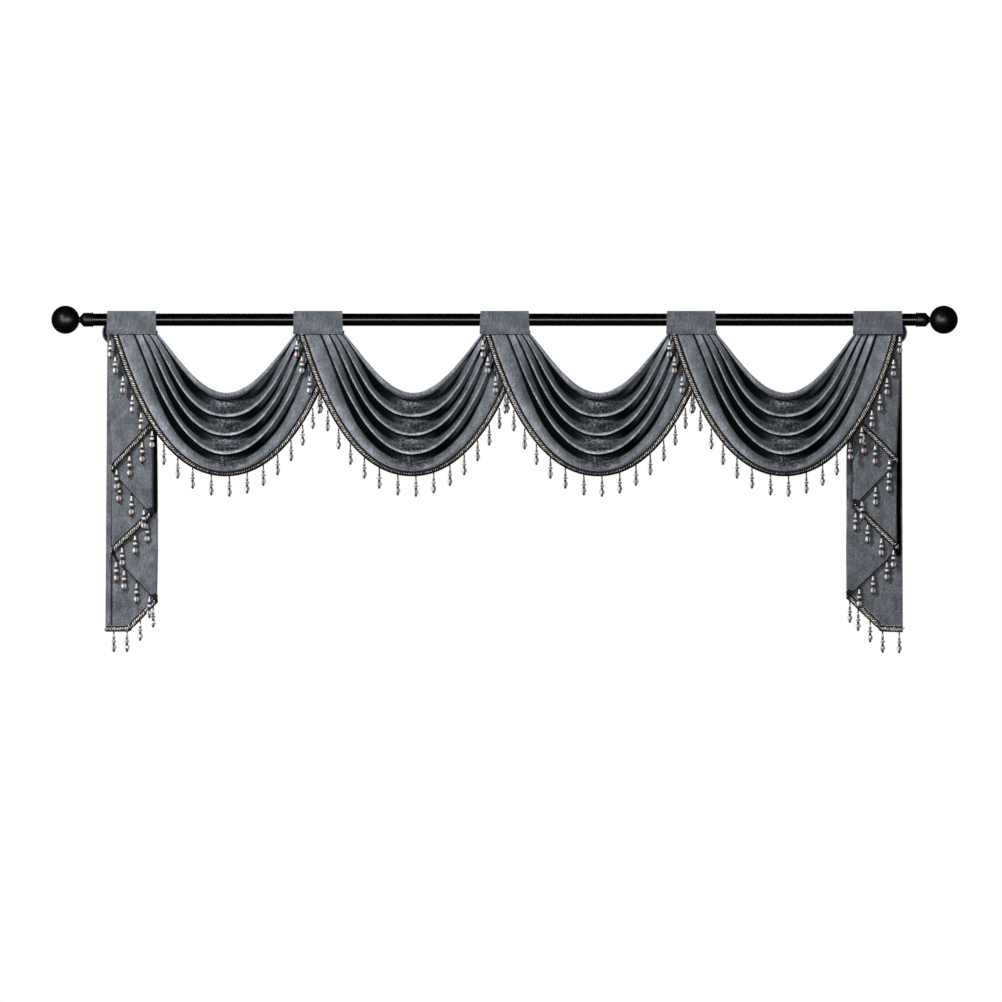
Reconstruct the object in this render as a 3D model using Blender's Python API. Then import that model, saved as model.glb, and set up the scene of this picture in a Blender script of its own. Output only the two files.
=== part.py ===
"""Swag and tail drape on a curtain rod.

Five headings hang on a rod that two wall brackets carry. Four swags run from
heading to heading, each with its left end over the right end of the one before,
and a pleated tail hangs behind each outer heading. A braid with bead drops
edges every swag and tail.

Metres, +Z up. The wall is the plane Y = 0, the front faces -Y, and the origin
is on the wall, half way along the rod and level with its axis.
"""

import math
from collections import namedtuple

import bmesh
import bpy
from mathutils import Vector

# ---- driving dimensions, in metres -------------------------------------------

GAP = 0.0003                    # between pieces that meet

ROD_RADIUS = 0.0156
ROD_STANDOFF = 0.075            # wall to rod axis
ROD_HALF_LENGTH = 1.0460
ROD_SIDES = 24

HEADING_COUNT = 5
HEADING_PITCH = 0.4665
HEADING_TOP = 0.0218            # above the rod axis
HEADING_SEAM = -0.0352          # lower edge of the heading
HEADING_HALF_TOP = 0.0605
HEADING_HALF_SEAM = 0.0625
HEADING_CLOTH = 0.0020
HEADING_FRONT = 0.0273          # rod axis to the middle of the front panel
LOOP_HALF_WIDTH = 0.0340        # the loop behind the panel is narrower than it
LOOP_BACK_PLAIN = -0.0125       # back leg of the loop, behind two swags
LOOP_BACK_TAIL = 0.0046         # the same behind a tail

CLOTH = 0.0018                  # thickness of swags and tails
TUCK = 0.0080                   # cloth that runs up behind a heading
SWAG_FRONT_LAYER = -0.0245      # left end of a swag, from the rod axis
SWAG_BACK_LAYER = -0.0155       # right end
SWAG_BELLY = 0.0330             # how far the middle stands ahead of the ends
SWAG_EARLY = 0.9                # the left half comes forward early, the right half
SWAG_LATE = 1.9                 # late, so that neighbours clear where they cross
SWAG_SKEW = 0.0034              # how far right of the middle the upper folds sag
SWAG_FULL = 0.0045              # how much fuller the right half is than the left
SWAG_SPREAD_LEFT = 0.45         # how far in the pleats have opened into full folds
SWAG_SPREAD_RIGHT = 0.70
SWAG_MIDDLES = (-0.6978, -0.2313, 0.2338, 0.7003)

BRAID_WIDTH = 0.0160
BRAID_ON_SLOPE = 0.0225         # its upright height where the hem slopes
BRAID_AT_CORNER = 0.0185
BRAID_BEHIND = 0.0080           # what shows of it where it lies on the far face
BRAID_THICK = 0.0030
BRAID_GAP_SWAG = 0.0005         # between the braid and the cloth above it
BRAID_GAP_TAIL = 0.0011
DROP_ROOT = 0.0015              # half width of a drop where it leaves the braid
DROP_STEP = 0.0030              # from the braid's edge out to the drop's line
DROP_LEAN = 0.0035              # how far the drops of the front layer stand forward
DROP_LENGTH = 0.0515            # of a swag's drops
DROP_WAIST = 0.48               # share of the length above the large bead
DROP_WAIST_HALF = 0.0014
DROP_BEAD = 0.72                # share of the length down to the bead's widest
DROP_BEAD_HALF = 0.0046
DROP_BEAD_DEPTH = 0.0036

TAIL_TOP_PITCH = 0.0026         # from layer to layer at the heading
TAIL_HEM_PITCH = 0.0080         # the same at the hem
TAIL_FRONT = -0.0085            # front layer, from the rod axis
TAIL_WAVE = 0.0012              # unevenness of its layers towards the hem

BALL_RADIUS = 0.0353
BALL_CENTRE = 1.0979
NECK_RADIUS = 0.0073
FLARE_START = 1.0623
COLLAR_START = 1.0525
COLLAR_RADIUS = 0.0174
LIP_RADIUS = 0.0183
LIP_START = 1.0318
COLLAR_END = 1.0285
SOCKET_END = 1.0466
FINIAL_SIDES = 20

PLATE_X = 0.9760
PLATE_Z = -0.0320
PLATE_RADIUS = 0.0303
PLATE_THICK = 0.0060
PLATE_RIM = 0.0040
PLATE_FACE = 0.0045
PLATE_SIDES = 24
ARM_WIDTH = 0.0100
ARM_HALF_HEIGHT = 0.0040
CUP_WALL = 0.0030

# A line of the swag, from its end at the heading to the middle of the swag.
# half_width is where it starts, drop is how low it hangs, angle is its slope at
# the start in degrees, and the pulls say how long it keeps each end's direction,
# as a share of half_width. relief is its depth in the folds at the middle, and
# pleat the same at the heading, positive to the front.
Line = namedtuple("Line", "name half_width drop angle start_pull mid_pull relief pleat")

SWAG_LINES = (
    Line("top_edge", 0.1720, 0.1480, 48.5, 0.41, 0.39, 0.001, -0.0004),
    Line("roll_front", 0.1732, 0.1545, 49.5, 0.43, 0.39, 0.007, 0.0002),
    Line("roll_lip", 0.1745, 0.1640, 52.0, 0.50, 0.40, 0.004, 0.0006),
    Line("roll_under", 0.1755, 0.1625, 52.2, 0.49, 0.42, -0.006, -0.0004),
    Line("fold_c_top", 0.1790, 0.1790, 52.6, 0.48, 0.46, -0.010, -0.0008),
    Line("fold_c_face", 0.1860, 0.1980, 53.0, 0.47, 0.53, 0.002, 0.0000),
    Line("fold_c_lip", 0.1900, 0.2065, 53.2, 0.46, 0.56, 0.007, 0.0006),
    Line("fold_c_under", 0.1910, 0.2045, 53.8, 0.46, 0.56, -0.004, -0.0004),
    Line("fold_b_top", 0.1945, 0.2230, 56.0, 0.45, 0.56, -0.008, -0.0008),
    Line("fold_b_face", 0.2010, 0.2440, 58.5, 0.45, 0.55, 0.003, 0.0000),
    Line("fold_b_lip", 0.2050, 0.2535, 60.0, 0.45, 0.55, 0.009, 0.0006),
    Line("fold_b_under", 0.2060, 0.2515, 60.5, 0.45, 0.55, -0.003, -0.0004),
    Line("fold_a_top", 0.2105, 0.2690, 62.5, 0.45, 0.54, -0.008, -0.0008),
    Line("fold_a_face", 0.2200, 0.2900, 64.8, 0.45, 0.53, 0.003, 0.0000),
    Line("fold_a_lip", 0.2250, 0.3000, 66.0, 0.45, 0.53, 0.009, 0.0006),
    Line("fold_a_under", 0.2262, 0.2980, 66.2, 0.45, 0.53, -0.004, -0.0004),
    Line("band_top", 0.2320, 0.3120, 67.4, 0.47, 0.53, -0.008, -0.0008),
    Line("band_upper", 0.2440, 0.3270, 69.4, 0.51, 0.53, 0.000, -0.0002),
    Line("band_belly", 0.2570, 0.3370, 71.2, 0.54, 0.53, 0.004, 0.0003),
    Line("band_edge", 0.2673, 0.3430, 72.2, 0.56, 0.53, 0.001, 0.0000),
)
TRIM_LINE = Line("trim_edge", 0.2850, 0.3565, 73.2, 0.575, 0.536, -0.001, 0.0000)
# Places of the bead drops across a swag, from its middle. The cloth has a column
# at each of them.
SWAG_DROPS = (
    -0.2850, -0.2730, -0.2535, -0.2310, -0.2090, -0.1820, -0.1530,
    -0.1185, -0.0800, -0.0370, 0.0088, 0.0540, 0.0935, 0.1285,
    0.1610, 0.1905, 0.2150, 0.2350, 0.2530, 0.2690, 0.2850,
)

# Hem of a tail, from its short inner edge to its long outer edge. Each row is the
# end of a stretch: its place inwards of the heading's middle, its height, the
# layer of the stretch, how long its drops are and where they hang.
Hem = namedtuple("Hem", "name inward height layer drop_length drops")

TAIL_LEFT = (
    Hem("inner_end", 0.0480, -0.2757, 0, 0.0, ()),
    Hem("fold_1", -0.0485, -0.3807, 0, 0.063, (0.0263, -0.0050, -0.0370)),
    Hem("fold_2", 0.0525, -0.4920, 1, 0.060, (-0.0310, 0.0000, 0.0310)),
    Hem("fold_3", -0.0485, -0.5880, 2, 0.056, (0.0398, 0.0090, -0.0233)),
    Hem("fold_4", 0.0648, -0.7080, 3, 0.060, (-0.0380, -0.0185, 0.0125, 0.0450)),
    Hem("corner", -0.0050, -0.7800, 4, 0.051, (0.0545, 0.0220)),
    Hem("outer_end", -0.0650, -0.7800, 4, 0.051, (-0.0110, -0.0440)),
)
TAIL_RIGHT = (
    Hem("inner_end", 0.0395, -0.2730, 0, 0.0, ()),
    Hem("fold_1", -0.0455, -0.3595, 0, 0.060, (0.0320, 0.0061, -0.0289)),
    Hem("fold_2", 0.0620, -0.4710, 1, 0.056, (-0.0274, 0.0056, 0.0396)),
    Hem("fold_3", -0.0470, -0.5780, 2, 0.054, (0.0555, 0.0254, -0.0089, -0.0390)),
    Hem("fold_4", 0.0775, -0.6980, 3, 0.054, (-0.0231, 0.0119, 0.0464)),
    Hem("corner", -0.0080, -0.7800, 4, 0.053, (0.0700, 0.0491, 0.0191)),
    Hem("outer_end", -0.0628, -0.7815, 4, 0.053, (-0.0140, -0.0536)),
)
TAIL_TOP_OUTER = 0.0600         # outer folds and edge at the heading
TAIL_TOP_INNER = 0.0560
TAIL_TOP_WIDEST = 0.0605        # inner edge of the layer furthest back
TAIL_ROWS = 8

COLOURS = {
    "chenille": ("6B7078", 0.85, 0.0),
    "braid": ("A3927A", 0.60, 0.1),
    "black_metal": ("0B0B0D", 0.22, 0.9),
}


# ---- small tools ---------------------------------------------------------------

def clear_scene():
    for obj in list(bpy.data.objects):
        bpy.data.objects.remove(obj, do_unlink=True)


def linear(hex_colour):
    """An sRGB hex colour as a linear RGBA tuple."""
    channels = []
    for start in (0, 2, 4):
        value = int(hex_colour[start:start + 2], 16) / 255.0
        if value <= 0.04045:
            channels.append(value / 12.92)
        else:
            channels.append(((value + 0.055) / 1.055) ** 2.4)
    return (*channels, 1.0)


def make_material(node_name, finish):
    colour, roughness, metallic = COLOURS[finish]
    material = bpy.data.materials.new(f"{finish}_{node_name}")
    material.use_nodes = True
    shader = material.node_tree.nodes["Principled BSDF"]
    shader.inputs["Base Color"].default_value = linear(colour)
    shader.inputs["Roughness"].default_value = roughness
    shader.inputs["Metallic"].default_value = metallic
    material.diffuse_color = linear(colour)
    return material


def add_object(name, mesh, finish, location=(0.0, 0.0, 0.0), crease_angle=40.0):
    mesh.shade_smooth()
    mesh.set_sharp_from_angle(angle=math.radians(crease_angle))
    obj = bpy.data.objects.new(name, mesh)
    obj.location = location
    obj.data.materials.append(make_material(name, finish))
    bpy.context.scene.collection.objects.link(obj)
    return obj


def mesh_from(name, bm):
    mesh = bpy.data.meshes.new(name)
    bmesh.ops.recalc_face_normals(bm, faces=bm.faces)
    bm.to_mesh(mesh)
    bm.free()
    return mesh


def smooth_step(low, high, value):
    share = min(1.0, max(0.0, (value - low) / (high - low)))
    return share * share * (3.0 - 2.0 * share)


def mix(first, second, share):
    return first + (second - first) * share


# ---- sheets --------------------------------------------------------------------

def grid_normals(grid):
    """The front-facing normal at each point of a grid, rows down, columns right."""
    rows = len(grid)
    columns = len(grid[0])
    normals = []
    for i in range(rows):
        line = []
        for j in range(columns):
            down = grid[min(i + 1, rows - 1)][j] - grid[max(i - 1, 0)][j]
            across = grid[i][min(j + 1, columns - 1)] - grid[i][max(j - 1, 0)]
            line.append(down.cross(across).normalized())
        normals.append(line)
    return normals


def sheet_solid(name, grid, thickness):
    """A closed sheet of even thickness on a grid of points."""
    normals = grid_normals(grid)
    rows = len(grid)
    columns = len(grid[0])
    bm = bmesh.new()
    sides = []
    for sign in (0.5, -0.5):
        side = []
        for i in range(rows):
            offsets = [grid[i][j] + normals[i][j] * (thickness * sign) for j in range(columns)]
            side.append([bm.verts.new(point) for point in offsets])
        sides.append(side)
    front, back = sides
    for i in range(rows - 1):
        for j in range(columns - 1):
            bm.faces.new((front[i][j], front[i + 1][j], front[i + 1][j + 1], front[i][j + 1]))
            bm.faces.new((back[i][j], back[i][j + 1], back[i + 1][j + 1], back[i + 1][j]))
    for i in range(rows - 1):
        bm.faces.new((front[i][0], back[i][0], back[i + 1][0], front[i + 1][0]))
        bm.faces.new((front[i][-1], front[i + 1][-1], back[i + 1][-1], back[i][-1]))
    for j in range(columns - 1):
        bm.faces.new((front[0][j], front[0][j + 1], back[0][j + 1], back[0][j]))
        bm.faces.new((front[-1][j], back[-1][j], back[-1][j + 1], front[-1][j + 1]))
    return mesh_from(name, bm)


# ---- braid with bead drops -----------------------------------------------------

def rail_beside(edge, rim, normals, gap):
    """Points just off the cloth's edge on the way to the rim."""
    rail = []
    for k, point in enumerate(edge):
        way = (rim[k] - point).normalized()
        run = edge[min(k + 1, len(edge) - 1)] - edge[max(k - 1, 0)]
        square = run.cross(normals[k]).normalized()
        share = max(0.4, abs(way.dot(square)))
        rail.append(point + way * (gap / share))
    return rail


def drop_rings(a, b, outward, length, lean):
    """Corner points of a drop below the braid's edge between stations a and b."""
    root = (a["outer_front"] + a["outer_back"] + b["outer_front"] + b["outer_back"]) / 4.0
    along = b["outer_front"] - a["outer_front"]
    along = Vector((along.x, along.y, 0.0)).normalized()
    depth = a["outer_front"] - a["outer_back"]
    depth = Vector((depth.x, depth.y, 0.0)).normalized()
    line = root + Vector((outward.x * DROP_STEP, -lean, 0.0))
    rings = []
    sections = (
        (DROP_WAIST, DROP_WAIST_HALF, DROP_WAIST_HALF),
        (DROP_BEAD, DROP_BEAD_HALF, DROP_BEAD_DEPTH),
    )
    for share, half_width, half_depth in sections:
        centre = line + Vector((0.0, 0.0, -share * length))
        right = along * half_width
        front = depth * half_depth
        rings.append([
            centre - right + front,
            centre - right - front,
            centre + right - front,
            centre + right + front,
        ])
    return rings, line + Vector((0.0, 0.0, -length))


def braid_stations(inner, outer, normals, drops):
    """Cross-sections of the braid, two close together wherever a drop hangs."""
    count = len(inner)
    stations = []
    for j in range(count):
        shares = [(j, 0.0)]
        if j in drops:
            shares = []
            for step in (-1, 1):
                neighbour = min(max(j + step, 0), count - 1)
                if neighbour == j:
                    continue
                length = (outer[neighbour] - outer[j]).length
                shares.append((neighbour, DROP_ROOT / length))
            if len(shares) == 1:
                neighbour, share = shares[0]
                pair = [(neighbour, 0.0), (neighbour, 2.0 * share)]
                shares = pair if neighbour > j else pair[::-1]
        pair_start = len(shares) == 2
        for neighbour, share in shares:
            inner_point = mix(inner[j], inner[neighbour], share)
            outer_point = mix(outer[j], outer[neighbour], share)
            normal = mix(normals[j], normals[neighbour], share).normalized()
            half = normal * (BRAID_THICK / 2.0)
            stations.append({
                "inner_front": inner_point + half,
                "inner_back": inner_point - half,
                "outer_front": outer_point + half,
                "outer_back": outer_point - half,
                "outward": (outer_point - inner_point).normalized(),
                "drop": pair_start,
                "fall": drops.get(j),
            })
            pair_start = False
    return stations


def braid_solid(name, inner, outer, normals, drops):
    """A flat braid between two rails, with a four-sided drop at chosen columns.

    drops holds each drop's length and how far it stands forward, by column.
    """
    corner_names = ("inner_front", "outer_front", "outer_back", "inner_back")
    stations = braid_stations(inner, outer, normals, drops)
    bm = bmesh.new()
    loops = []
    for station in stations:
        loops.append([bm.verts.new(station[corner]) for corner in corner_names])
    for k in range(len(stations) - 1):
        a, b = loops[k], loops[k + 1]
        bm.faces.new((a[0], a[1], b[1], b[0]))
        bm.faces.new((a[2], a[3], b[3], b[2]))
        bm.faces.new((a[3], a[0], b[0], b[3]))
        if not stations[k]["drop"]:
            bm.faces.new((a[1], a[2], b[2], b[1]))
            continue
        start = stations[k]
        rings, tip = drop_rings(start, stations[k + 1], start["outward"], *start["fall"])
        upper = [a[1], a[2], b[2], b[1]]
        for ring in rings:
            lower = [bm.verts.new(point) for point in ring]
            for side in range(4):
                following = (side + 1) % 4
                bm.faces.new((upper[side], upper[following], lower[following], lower[side]))
            upper = lower
        apex = bm.verts.new(tip)
        for side in range(4):
            bm.faces.new((upper[side], upper[(side + 1) % 4], apex))
    bm.faces.new(loops[0][::-1])
    bm.faces.new(loops[-1])
    return mesh_from(name, bm)


# ---- swags ---------------------------------------------------------------------

def swag_layer(along):
    """Depth of the swag's ends: left end in front, right end behind."""
    return mix(SWAG_FRONT_LAYER, SWAG_BACK_LAYER, smooth_step(-0.6, 0.6, along))


def swag_point(line, along):
    """A point of a fold line; along runs from -1 at the left end to 1 at the right."""
    share = 1.0 - abs(along)
    rest = 1.0 - share
    pull = line.half_width * line.start_pull
    slope = math.radians(line.angle)
    weights = (rest ** 3, 3.0 * rest * rest * share, 3.0 * rest * share * share, share ** 3)
    reach = (line.half_width, line.half_width - pull * math.cos(slope),
             line.half_width * line.mid_pull, 0.0)
    fall = (0.0, pull * math.sin(slope), line.drop, line.drop)
    across = math.copysign(sum(w * value for w, value in zip(weights, reach)), along)
    drop = sum(w * value for w, value in zip(weights, fall))
    skew = SWAG_SKEW * (1.0 + 0.4 * share) * (1.0 - line.drop / TRIM_LINE.drop)
    if along > 0.0:
        skew += SWAG_FULL * 9.5 * rest ** 3 * share * line.drop / TRIM_LINE.drop
    pace = SWAG_EARLY if along < 0.0 else SWAG_LATE
    belly = SWAG_BELLY * (0.5 - 0.5 * math.cos(math.pi * share)) ** pace
    open_from = SWAG_SPREAD_LEFT if along < 0.0 else SWAG_SPREAD_RIGHT
    spread = smooth_step(0.0, open_from, share)
    relief = mix(line.pleat, line.relief, spread)
    return Vector((
        across + skew,
        -ROD_STANDOFF + swag_layer(along) - belly - relief,
        HEADING_SEAM - drop,
    ))


def columns_below(line, places):
    """Values of along at which the given line passes over each place."""
    columns = []
    for place in places:
        low, high = -1.0, 1.0
        for _ in range(40):
            middle = (low + high) / 2.0
            if swag_point(line, middle).x < place:
                low = middle
            else:
                high = middle
        columns.append((low + high) / 2.0)
    return [-1.0] + columns[1:-1] + [1.0]


def swag_grid(columns):
    """Rows of the swag's surface, each with its two ends tucked up in a heading."""
    tuck = Vector((0.0, 0.0, TUCK))
    grid = []
    for line in SWAG_LINES:
        row = [swag_point(line, along) for along in columns]
        grid.append([row[0] + tuck] + row + [row[-1] + tuck])
    return grid


def build_swags():
    columns = columns_below(TRIM_LINE, SWAG_DROPS)
    grid = swag_grid(columns)
    cloth = sheet_solid("swag_cloth", grid, CLOTH)

    edge_normals = grid_normals(grid)[-1][1:-1]
    edge = grid[-1][1:-1]
    outer = [swag_point(TRIM_LINE, along) for along in columns]
    inner = rail_beside(edge, outer, edge_normals, BRAID_GAP_SWAG)
    shift = Vector((0.0, 0.0, -4.0 * GAP))
    inner[0] += shift
    inner[-1] += shift
    outer[0] += shift
    outer[-1] += shift
    drops = {}
    for j, along in enumerate(columns):
        drops[j] = (DROP_LENGTH, DROP_LEAN * smooth_step(0.1, -0.3, along))
    braid = braid_solid("swag_braid", inner, outer, edge_normals, drops)

    for number, middle in enumerate(SWAG_MIDDLES, start=1):
        place = (middle, 0.0, 0.0)
        add_object(f"swag_{number}", cloth.copy(), "chenille", place)
        add_object(f"swag_trim_{number}", braid.copy(), "braid", place)
    bpy.data.meshes.remove(cloth)
    bpy.data.meshes.remove(braid)


# ---- tails ---------------------------------------------------------------------

# A column of a tail: its place inwards at the heading and at the hem, the height
# of the hem, the layer it lies in (half way between two at the middle of a fold),
# how far it stands back from the fold's outermost line, the height of its braid
# and the length of the drop that hangs there.
Column = namedtuple("Column", "top inward height layer tuck rise drop")


def tail_columns(hem):
    """Columns from the inner edge to the outer, with the folds rounded."""
    tops = [TAIL_TOP_INNER if row.inward > 0.0 else -TAIL_TOP_OUTER for row in hem]
    tops[-3] = TAIL_TOP_WIDEST
    tops[-2] = hem[-2].inward
    first = hem[0]
    columns = [Column(tops[0], first.inward, first.height, 0.0, 0.0, BRAID_ON_SLOPE, 0.0)]
    for number in range(1, len(hem)):
        start, end = hem[number - 1], hem[number]
        layer = float(end.layer)
        rise = BRAID_BEHIND if end.layer % 2 else BRAID_ON_SLOPE
        if end.name == "outer_end":
            rise = BRAID_WIDTH
        for place in end.drops:
            share = (start.inward - place) / (start.inward - end.inward)
            top = mix(tops[number - 1], tops[number], share)
            height = mix(start.height, end.height, share)
            columns.append(Column(top, place, height, layer, 0.0, rise, end.drop_length))
        top = tops[number]
        if end.name == "corner":
            columns.append(Column(top, end.inward, end.height, layer, 0.0, BRAID_AT_CORNER, 0.0))
        elif end.name == "outer_end":
            columns.append(Column(top, end.inward, end.height, layer, 0.0, rise, 0.0))
        else:
            back = -math.copysign(1.0, end.inward)
            turn = ((0.0, back), (0.5, 0.0), (1.0, back))
            for step, tuck in turn:
                columns.append(Column(
                    top, end.inward, end.height, layer + step, tuck, BRAID_ON_SLOPE, 0.0))
    return columns


def tail_point(column, height, side, deepest):
    """A point of the tail's surface at a height above the hem."""
    level = (HEADING_SEAM - height) / (HEADING_SEAM - deepest)
    rate = 2.5 if column.top > 0.0 or column.layer < 4.0 else 1.0
    place = mix(column.top, column.inward, min(1.0, level * rate))
    opening = smooth_step(0.0, 0.4, level)
    pitch = mix(TAIL_TOP_PITCH, TAIL_HEM_PITCH, opening)
    place += column.tuck * pitch * 0.4
    depth = TAIL_FRONT + column.layer * pitch
    phase = column.layer * 2.1 + column.inward * 70.0
    depth += TAIL_WAVE * math.sin(phase) * smooth_step(0.05, 0.6, level)
    middle = side * (HEADING_COUNT - 1) / 2.0 * HEADING_PITCH
    return Vector((middle - side * place, depth - ROD_STANDOFF, height))


def build_tail(side_name, side, hem):
    deepest = min(row.height for row in hem)
    columns = tail_columns(hem)
    if side < 0.0:
        columns.reverse()
    grid = []
    for i in range(TAIL_ROWS):
        share = i / (TAIL_ROWS - 1.0)
        row = []
        for column in columns:
            height = mix(HEADING_SEAM, column.height + column.rise, share)
            row.append(tail_point(column, height, side, deepest))
        grid.append(row)
    grid.insert(0, [point + Vector((0.0, 0.0, TUCK)) for point in grid[0]])
    cloth = sheet_solid(f"tail_{side_name}", grid, CLOTH)
    add_object(f"tail_{side_name}", cloth, "chenille")

    outer = [tail_point(column, column.height, side, deepest) for column in columns]
    normals = grid_normals(grid)[-1]
    inner = rail_beside(grid[-1], outer, normals, BRAID_GAP_TAIL)
    drops = {number: (column.drop, 0.0) for number, column in enumerate(columns) if column.drop}
    braid = braid_solid(f"tail_trim_{side_name}", inner, outer, normals, drops)
    add_object(f"tail_trim_{side_name}", braid, "braid")


# ---- headings ------------------------------------------------------------------

def tangent_angle(target_y, target_z, radius):
    """Angle on a circle about the rod where a line to the target leaves it."""
    distance = math.hypot(target_y, target_z)
    return math.atan2(target_z, target_y) + math.acos(radius / distance)


def heading_path(back_leg):
    """Middle line of the heading's cloth as (y, z, half_width) about the rod axis."""
    top = HEADING_TOP - HEADING_CLOTH / 2.0
    radius = (ROD_RADIUS + GAP + HEADING_CLOTH / 2.0) / math.cos(math.radians(9.0))
    front = -HEADING_FRONT
    path = [
        (front, HEADING_SEAM, HEADING_HALF_SEAM),
        (front, 0.0, mix(HEADING_HALF_SEAM, HEADING_HALF_TOP, 0.62)),
        (front, top - 0.0022, HEADING_HALF_TOP),
        (front + 0.0008, top - 0.0005, HEADING_HALF_TOP),
        (front + 0.0026, top, HEADING_HALF_TOP),
        (front + 0.0075, top - 0.0010, LOOP_HALF_WIDTH),
        (front * 0.40, mix(top, radius, 0.70), LOOP_HALF_WIDTH),
    ]
    leg_top = HEADING_SEAM + TUCK
    last = tangent_angle(back_leg, leg_top, radius)
    steps = 8
    for step in range(steps + 1):
        angle = mix(math.radians(90.0), last, step / steps)
        path.append((radius * math.cos(angle), radius * math.sin(angle), LOOP_HALF_WIDTH))
    path.append((back_leg, leg_top, LOOP_HALF_WIDTH))
    path.append((back_leg, HEADING_SEAM, LOOP_HALF_WIDTH))
    return path


def heading_mesh(back_leg):
    """A strip of cloth bent round the rod: panel in front, loop behind."""
    path = heading_path(back_leg)
    count = len(path)
    bm = bmesh.new()
    loops = []
    for k, (y, z, half_width) in enumerate(path):
        before = path[max(k - 1, 0)]
        after = path[min(k + 1, count - 1)]
        run = Vector((0.0, after[0] - before[0], after[1] - before[1])).normalized()
        out = Vector((0.0, -run.z, run.y)) * (HEADING_CLOTH / 2.0)
        centre = Vector((0.0, y - ROD_STANDOFF, z))
        side = Vector((half_width, 0.0, 0.0))
        corners = (centre - side + out, centre + side + out, centre + side - out, centre - side - out)
        loops.append([bm.verts.new(point) for point in corners])
    for a, b in zip(loops, loops[1:]):
        for side in range(4):
            following = (side + 1) % 4
            bm.faces.new((a[side], a[following], b[following], b[side]))
    bm.faces.new(loops[0][::-1])
    bm.faces.new(loops[-1])
    return mesh_from("heading_cloth", bm)


def build_headings():
    for number in range(1, HEADING_COUNT + 1):
        outermost = number in (1, HEADING_COUNT)
        mesh = heading_mesh(LOOP_BACK_TAIL if outermost else LOOP_BACK_PLAIN)
        middle = (number - (HEADING_COUNT + 1) / 2.0) * HEADING_PITCH
        add_object(f"heading_{number}", mesh, "chenille", (middle, 0.0, 0.0))


# ---- rod, finials and brackets -------------------------------------------------

def turned_solid(name, profile, sides, axis):
    """Spin a closed profile of (along, radius) about the X or the Y axis."""
    bm = bmesh.new()
    rings = []
    for along, radius in profile:
        if radius < 1e-9:
            rings.append([bm.verts.new(turned_point(along, 0.0, 0.0, axis))])
            continue
        ring = []
        for k in range(sides):
            angle = 2.0 * math.pi * (k + 0.5) / sides
            ring.append(bm.verts.new(turned_point(along, radius, angle, axis)))
        rings.append(ring)
    for a, b in zip(rings, rings[1:]):
        for k in range(sides):
            following = (k + 1) % sides
            if len(a) == 1:
                bm.faces.new((a[0], b[k], b[following]))
            elif len(b) == 1:
                bm.faces.new((a[k], b[0], a[following]))
            else:
                bm.faces.new((a[k], b[k], b[following], a[following]))
    return mesh_from(name, bm)


def turned_point(along, radius, angle, axis):
    if axis == "X":
        return Vector((along, radius * math.cos(angle), radius * math.sin(angle)))
    return Vector((radius * math.cos(angle), along, radius * math.sin(angle)))


def build_rod():
    profile = [
        (-ROD_HALF_LENGTH, 0.0),
        (-ROD_HALF_LENGTH, ROD_RADIUS),
        (ROD_HALF_LENGTH, ROD_RADIUS),
        (ROD_HALF_LENGTH, 0.0),
    ]
    mesh = turned_solid("rod", profile, ROD_SIDES, "X")
    add_object("rod", mesh, "black_metal", (0.0, -ROD_STANDOFF, 0.0))


def finial_profile():
    """From the ball's tip inwards along +X, and out again along the socket."""
    socket = (ROD_RADIUS + GAP) / math.cos(math.pi / FINIAL_SIDES)
    profile = [(BALL_CENTRE + BALL_RADIUS, 0.0)]
    neck_angle = math.pi - math.asin(NECK_RADIUS / BALL_RADIUS)
    steps = 9
    for step in range(1, steps + 1):
        angle = neck_angle * step / steps
        profile.append((BALL_CENTRE + BALL_RADIUS * math.cos(angle), BALL_RADIUS * math.sin(angle)))
    profile += [
        (FLARE_START, NECK_RADIUS),
        (COLLAR_START, COLLAR_RADIUS),
        (LIP_START, COLLAR_RADIUS),
        (LIP_START, LIP_RADIUS),
        (COLLAR_END, LIP_RADIUS),
        (COLLAR_END, socket),
        (SOCKET_END, socket),
        (SOCKET_END, 0.0),
    ]
    return profile


def build_finials():
    for side_name, side in (("left", -1.0), ("right", 1.0)):
        profile = [(side * along, radius) for along, radius in finial_profile()]
        mesh = turned_solid(f"finial_{side_name}", profile, FINIAL_SIDES, "X")
        add_object(f"finial_{side_name}", mesh, "black_metal", (0.0, -ROD_STANDOFF, 0.0))


def build_wall_plates():
    profile = [
        (0.0, 0.0),
        (0.0, PLATE_RADIUS),
        (-PLATE_THICK + 0.001, PLATE_RADIUS),
        (-PLATE_THICK, PLATE_RADIUS - 0.001),
        (-PLATE_THICK, PLATE_RADIUS - PLATE_RIM),
        (-PLATE_FACE, PLATE_RADIUS - PLATE_RIM - 0.001),
        (-PLATE_FACE, 0.0),
    ]
    for side_name, side in (("left", -1.0), ("right", 1.0)):
        mesh = turned_solid(f"bracket_plate_{side_name}", profile, PLATE_SIDES, "Y")
        place = (side * PLATE_X, 0.0, PLATE_Z)
        add_object(f"bracket_plate_{side_name}", mesh, "black_metal", place)


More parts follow.
